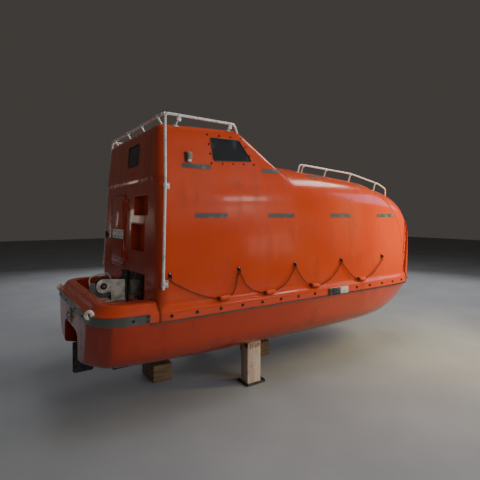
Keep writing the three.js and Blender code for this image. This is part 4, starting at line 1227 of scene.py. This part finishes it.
# Outlines of the hook's cheek and bail: distance out from the wall, height over the floor
CHEEK = [(0.016, 0.012), (0.178, 0.012), (0.178, 0.103), (0.205, 0.112)]
CHEEK += [(0.26 + 0.082 * math.cos(a), 0.18 + 0.082 * math.sin(a)) for a in np.linspace(-1.9, 1.6, 26)]
CHEEK += [(0.016, 0.241)]
BAIL = ((0.165, 0.2), (0.168, 0.262), (0.203, 0.322), (0.39, 0.297), (0.408, 0.24), (0.392, 0.175))


def build_hooks():
    for where, base, way, floor in (("aft", -1.9, -1, 1.01), ("forward", BOW_WELL_X, 1, BOW_WELL_FLOOR)):
        dress(where + "_hook_bracket", 0.0025, where + "_bracket", DARK_STEEL)
        dress(where + "_hook", 0.003, where + "_release_hook", HOOK_GREY)
        x, z = base + way * 0.26, floor + 0.18
        outline = [(base + way * out, floor + up) for out, up in CHEEK]
        cheeks, rings, nuts = [], [], []
        for sign in (-1, 1):
            cheeks.append(slab("side", outline, *sorted((0.0515 * sign, 0.0545 * sign)), 0.0012))
            rings.append(bar((x, 0.052 * sign, z), (x, 0.063 * sign, z), 0.038, 28, 0.003))
            nuts.append(bar((x, 0.058 * sign, z), (x, 0.0765 * sign, z), 0.019, 6, 0.002))
        ends = sorted((base + way * 0.016, base + way * 0.4005))
        tread = block((ends[0], -0.0856, floor + 0.0012), (ends[1], 0.0856, floor + 0.0146), 0.0015)
        hand_over([*cheeks, tread], where + "_hook_cheeks", HOOK_LIGHT)
        hand_over(rings, where + "_hook_washers", DARK_STEEL)
        hand_over(nuts, where + "_hook_nuts", FORGED)
        bail = bent_run([(base + way * out, 0, floor + up) for out, up in BAIL], 0.025, 6)
        hand_over(tube(bail, 0.0087, 12), where + "_hook_bail", STEEL)
        places = [(base + way * 0.014, y, floor + up) for y in (-0.088, 0.088) for up in (0.04, 0.17, 0.3)]
        bolts(0.009, 0.009, facing((way, 0, 0), places), where + "_plate_bolts", FORGED)


# A round lug on each stern quarter, over the band
def build_quarter_lugs():
    lugs = []
    for _, sign in SIDES:
        middle, way = Vector((-2.486, 0.845 * sign, 1.079)), Vector((-0.64, 0.77 * sign, 0))
        ring = bar(middle - way * 0.011, middle + way * 0.011, 0.047, 32, 0.004)
        carve(ring, bar(middle - way * 0.05, middle + way * 0.05, 0.018, 24))
        shank = bar(middle + Vector((0.03, 0, -0.01)), middle + Vector((0.1, 0, -0.03)), 0.017, 18)
        lugs += [ring, shank]
    hand_over(smoothed(joined(lugs), 40), "quarter_lugs", HOOK_LIGHT)


# x, height and width of the wood shims between each post and the hull
SHIMS = (
    (-0.70, 0.022, 0.03), (-0.664, 0.034, 0.026), (-0.63, 0.018, 0.03), (-0.592, 0.03, 0.028),
    (-0.556, 0.02, 0.03),
)
# Node, width of its broken edges, finish
UNDER = (
    ("keel_block_aft", 0.006, TIMBER), ("keel_block_forward", 0.006, TIMBER),
    ("keel", 0.006, DARK_STEEL), ("engine", 0.03, IRON),
    ("towing_eye", 0.003, FORGED), ("aft_wall_sheet", 0.002, SHEET),
)


def build_under():
    for word, sign in SIDES:
        dress("stand_post_" + word, 0.006, "post_" + word, POST)
        channel = [
            block_on(sign, (-0.74, 0.685, 0.0), (-0.482, 0.895, 0.017), 0.003),
            block_on(sign, (-0.74, 0.685, 0.0), (-0.733, 0.895, 0.034), 0.002),
            block_on(sign, (-0.489, 0.685, 0.0), (-0.482, 0.895, 0.034), 0.002),
        ]
        hand_over(channel, "post_channel_" + word, DARK_STEEL, slot="stand_steel")
        shims = []
        for k, (x, height, wide) in enumerate(SHIMS):
            y = 0.845 * sign
            top = struck(hull_moulding, (x, y, 0.1), (0, 0, 1), (x, y, 0.5))[0].z
            low = (x - wide / 2, 0.80 + 0.004 * k, top - height - 0.035)
            high = (x + wide / 2, 0.866 + 0.003 * (k % 3), top - 0.002 * k)
            shims.append(block_on(sign, low, high, 0.0015, 1))
        hand_over(joined(shims), "post_shims_" + word, SHIM)
    for name, width, finish in UNDER:
        dress(name, width, name + "_dressed", finish)
    dress("rudder", 0.004, "rudder_blade", DARK_STEEL, body="rudder_body")
    dress("propeller", 0.003, "propeller_blades", BRONZE, body="propeller_body")


# Roof hatch and bow hatch with a raised middle, a rim, and a grab handle
def roof_height(x):
    return 2.965 + ROOF_TILT * (x + 1.33)


def grab_handle(points, name, body):
    hand_over(tube(bent_run(points, 0.018), 0.006, 10), name, STEEL, body=body)


def build_hatches():
    lift = "roof_hatch_body"
    roof = refined("roof_hatch", 0.004, 3)
    raised = block((-1.42, -0.18, 2.96), (-1.08, 0.18, roof_height(-1.25) + 0.026), 0.012, 4)
    hand_over([raised, roof], "roof_hatch_leaf", ORANGE, "roof_hatch", body=lift)
    points = [(-1.40, y, z) for y, z in ((-0.06, 2.975), (-0.06, 3.02), (0.06, 3.02), (0.06, 2.975))]
    grab_handle(points, "roof_hatch_handle", lift)
    lift = "bow_hatch_body"
    bow = refined("bow_hatch", 0.003, 2)
    raised = block((1.92, -0.18, 1.64), (1.948, 0.18, 1.98), 0.008, 3)
    hand_over([raised, bow], "bow_hatch_leaf", ORANGE, "bow_hatch", body=lift)
    points = [(x, y, 1.68) for x, y in ((1.945, -0.07), (1.985, -0.07), (1.985, 0.07), (1.945, 0.07))]
    grab_handle(points, "bow_hatch_handle", lift)
    rim = evenly(rectangle((-1.49, -1.01), (-0.25, 0.25)), 0.07, 6)
    hand_over(tube([(x, y, roof_height(x)) for x, y in rim], 0.0085, 10, True), "roof_rim", ORANGE)
    rim = evenly(rectangle((-0.262, 0.262), (1.548, 2.072)), 0.08, 6)
    hand_over(tube([(BOW_WELL_X, y, z) for y, z in rim], 0.0085, 10, True), "bow_rim", ORANGE)
    knuckles = []
    x = HATCH_X[1] + 0.016
    z = roof_height(x) + 0.016
    for y in (-0.15, 0.15):
        for a, b in ((y - 0.06, y - 0.0306), (y + 0.0306, y + 0.06)):
            knuckles.append(bar((x, a, z), (x, b, z), 0.0102, 16, 0.0015))
            knuckles.append(block((x - 0.007, a, z - 0.03), (x + 0.04, b, z - 0.002), 0.002))
            knuckles.append(bar((1.946, a, 2.076), (1.946, b, 2.076), 0.0102, 16, 0.0015))
            knuckles.append(block((1.924, a, 2.068), (1.94, b, 2.12), 0.002))
    hand_over(knuckles, "hatch_hinges", FORGED)


# Rails as round pipe, where the frame gives them eight sides
def build_rails():
    for word, sign in SIDES:
        run = bent_run(to_side([*RISER, ROOF_RUN[1], (-0.872, 0.868, 2.945)], sign), 0.045)
        rail = tube(run, 0.015, 20)
        cap = bar(run[0], Vector(run[0]) + Vector((0, 0, -0.002)), 0.0145, 20)
        hand_over(joined([cap, rail]), "hand_rail_" + word, STEEL, "handrail_" + word)
        run = to_side([(0.300, 0.612, 2.60), *CANOPY_RUN, (2.330, 0.545, 2.20)], sign)
        rail = tube(bent_run(run, 0.04), 0.012, 16)
        hand_over(rail, "canopy_top_rail_" + word, STEEL, "canopy_rail_" + word)
        dress("rub_rail_" + word, 0.004, "rub_strip_" + word, STRIP)
    rail = tube([(-1.8, y, 3.026) for y in np.linspace(-0.918, 0.918, 12)], 0.015, 20)
    hand_over(rail, "stern_top_rail", STEEL, "aft_top_rail")
    front = -1.99
    run = [(x, y) for x, y in stern_plan(-0.0028, 16) if x < front + 0.005 and y > 0]
    run = [(front, band_y(front) + 0.0028), *run]
    run += [(x, -y) for x, y in reversed(run)]
    hand_over(flat_strip(run, 0.984, 1.07, 0.0052), "stern_strip", STRIP, "stern_band")


def flat_strip(run, low, high, thick):
    """An upright flat bar bent along a line in plan, with its long edges broken"""
    rings = []
    for i, (x, y) in enumerate(run):
        a, b = np.array(run[max(0, i - 1)]), np.array(run[min(len(run) - 1, i + 1)])
        out = np.array((-(b - a)[1], (b - a)[0])) / np.linalg.norm(b - a)
        dx, dy = (out if np.dot(out, (x, y)) > 0 else -out) * thick / 2
        inner, outer = (x - dx, y - dy), (x + dx, y + dy)
        rings.append([(*inner, low), (*outer, low + 0.0015), (*outer, high - 0.0015), (*inner, high)])
    return smoothed(skin(rings), 40)


build_door()
trim_wall()
fit_band()
build_hooks()
build_quarter_lugs()
build_under()
build_hatches()
build_rails()

# The frame's own pieces that keep their shape get these finishes
NODE_FINISHES = {
    "aft_window": GLASS[0],
    "propeller_shaft": STEEL[0],
    "tower_window": GLASS[0],
    "windscreen": GLASS[0],
}


def finish_nodes():
    for name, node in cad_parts.items():
        starts = [key for key in NODE_FINISHES if name.startswith(key)]
        if starts and not node.hide_render:
            node.data.materials.clear()
            node.data.materials.append(NODE_FINISHES[max(starts, key=len)])


finish_nodes()


# A pale floor, soft studio lamps, and windows of the hall that the gloss mirrors as streaks: name,
# place, target, size, watts, colour
SOFT_LAMPS = (
    ("key", (3.0, -8.5, 5.0), (0.4, -1, 1.4), (6, 4), 395, "#FFFFFF"),
    ("over", (0.8, -0.5, 7.5), (0.4, 0, 1), (6, 4), 210, "#FFFFFF"),
    ("quarter", (-2.5, -8.5, 3.0), (-2.1, 0, 1.3), (2.5, 2.5), 110, "#FFFFFF"),
    ("port_fill", (1.5, 8.5, 5.0), (0.2, 1, 1.4), (6, 4), 420, "#FFFFFF"),
    ("stern_fill", (-8.5, 4.5, 3.5), (-2, 0, 1.8), (4, 4), 42, "#FFFFFF"),
    ("bow_fill", (9.0, 1.5, 4.0), (2.4, 0, 1.5), (4, 4), 170, "#FFFFFF"),
    ("bow_sun", (2.75, -2.5, 2.2), (2.05, -0.9, 1.6), (0.5, 1.4), 100, "#FFE69C"),
)
WINDOWS = (
    ("roof_window", (6.8, -3.3, 8.1), (0.2, -0.9, 2.4), (4.4, 1.3), 150, "#FFF8EC"),
    ("gable_window", (8.0, -3.8, 5.0), (1.0, -0.95, 2.2), (3.6, 2.0), 48, "#D6C2F4"),
    ("side_window", (4.2, -8.2, 4.0), (-0.85, -1.0, 2.2), (1.5, 0.8), 22, "#FFF0E8"),
    ("low_window", (5.0, -8.1, 1.9), (-0.6, -1.0, 1.6), (1.6, 0.9), 4, "#FFE8D8"),
    ("port_gap", (-4.7, 8.3, 2.0), (-1.9, -0.3, 1.8), (0.3, 0.7), 1.6, "#FFF0E0"),
)


def lamp(name, place, target, size, watts, colour, mirrored):
    light = bpy.data.lights.new(name, "AREA")
    light.shape = "RECTANGLE"
    light.size, light.size_y = size
    light.energy = watts
    light.color = linear(colour)[:3]
    holder = bpy.data.objects.new(name, light)
    holder.location = place
    holder.rotation_euler = (Vector(target) - Vector(place)).to_track_quat("-Z", "Y").to_euler()
    holder.visible_glossy = mirrored
    holder.visible_camera = False
    bpy.context.scene.collection.objects.link(holder)


def light_scene():
    floor = begin(bpy.ops.mesh.primitive_plane_add, size=60, location=(0, 0, -0.001))
    settle(floor)
    floor.name = "floor"
    material, tree, surface, place = new_finish("pale_floor", "#888B90", Roughness=0.75)
    shade = stained(tree, spots(tree, place, 0.8, 4), 0.3, 0.7, 1, "#83868B", "#8D9094")
    tree.links.new(shade, surface.inputs["Base Color"])
    floor.data.materials.append(material)
    world = bpy.data.worlds.new("soft_room")
    world.use_nodes = True
    air = world.node_tree.nodes["Background"]
    air.inputs["Color"].default_value = linear("#C8BEB6")
    air.inputs["Strength"].default_value = 0.1
    bpy.context.scene.world = world
    for name, place, target, size, watts, colour in SOFT_LAMPS:
        lamp(name, place, target, size, watts, colour, False)
    for name, place, target, size, watts, colour in WINDOWS:
        lamp(name, place, target, size, watts, colour, True)


light_scene()
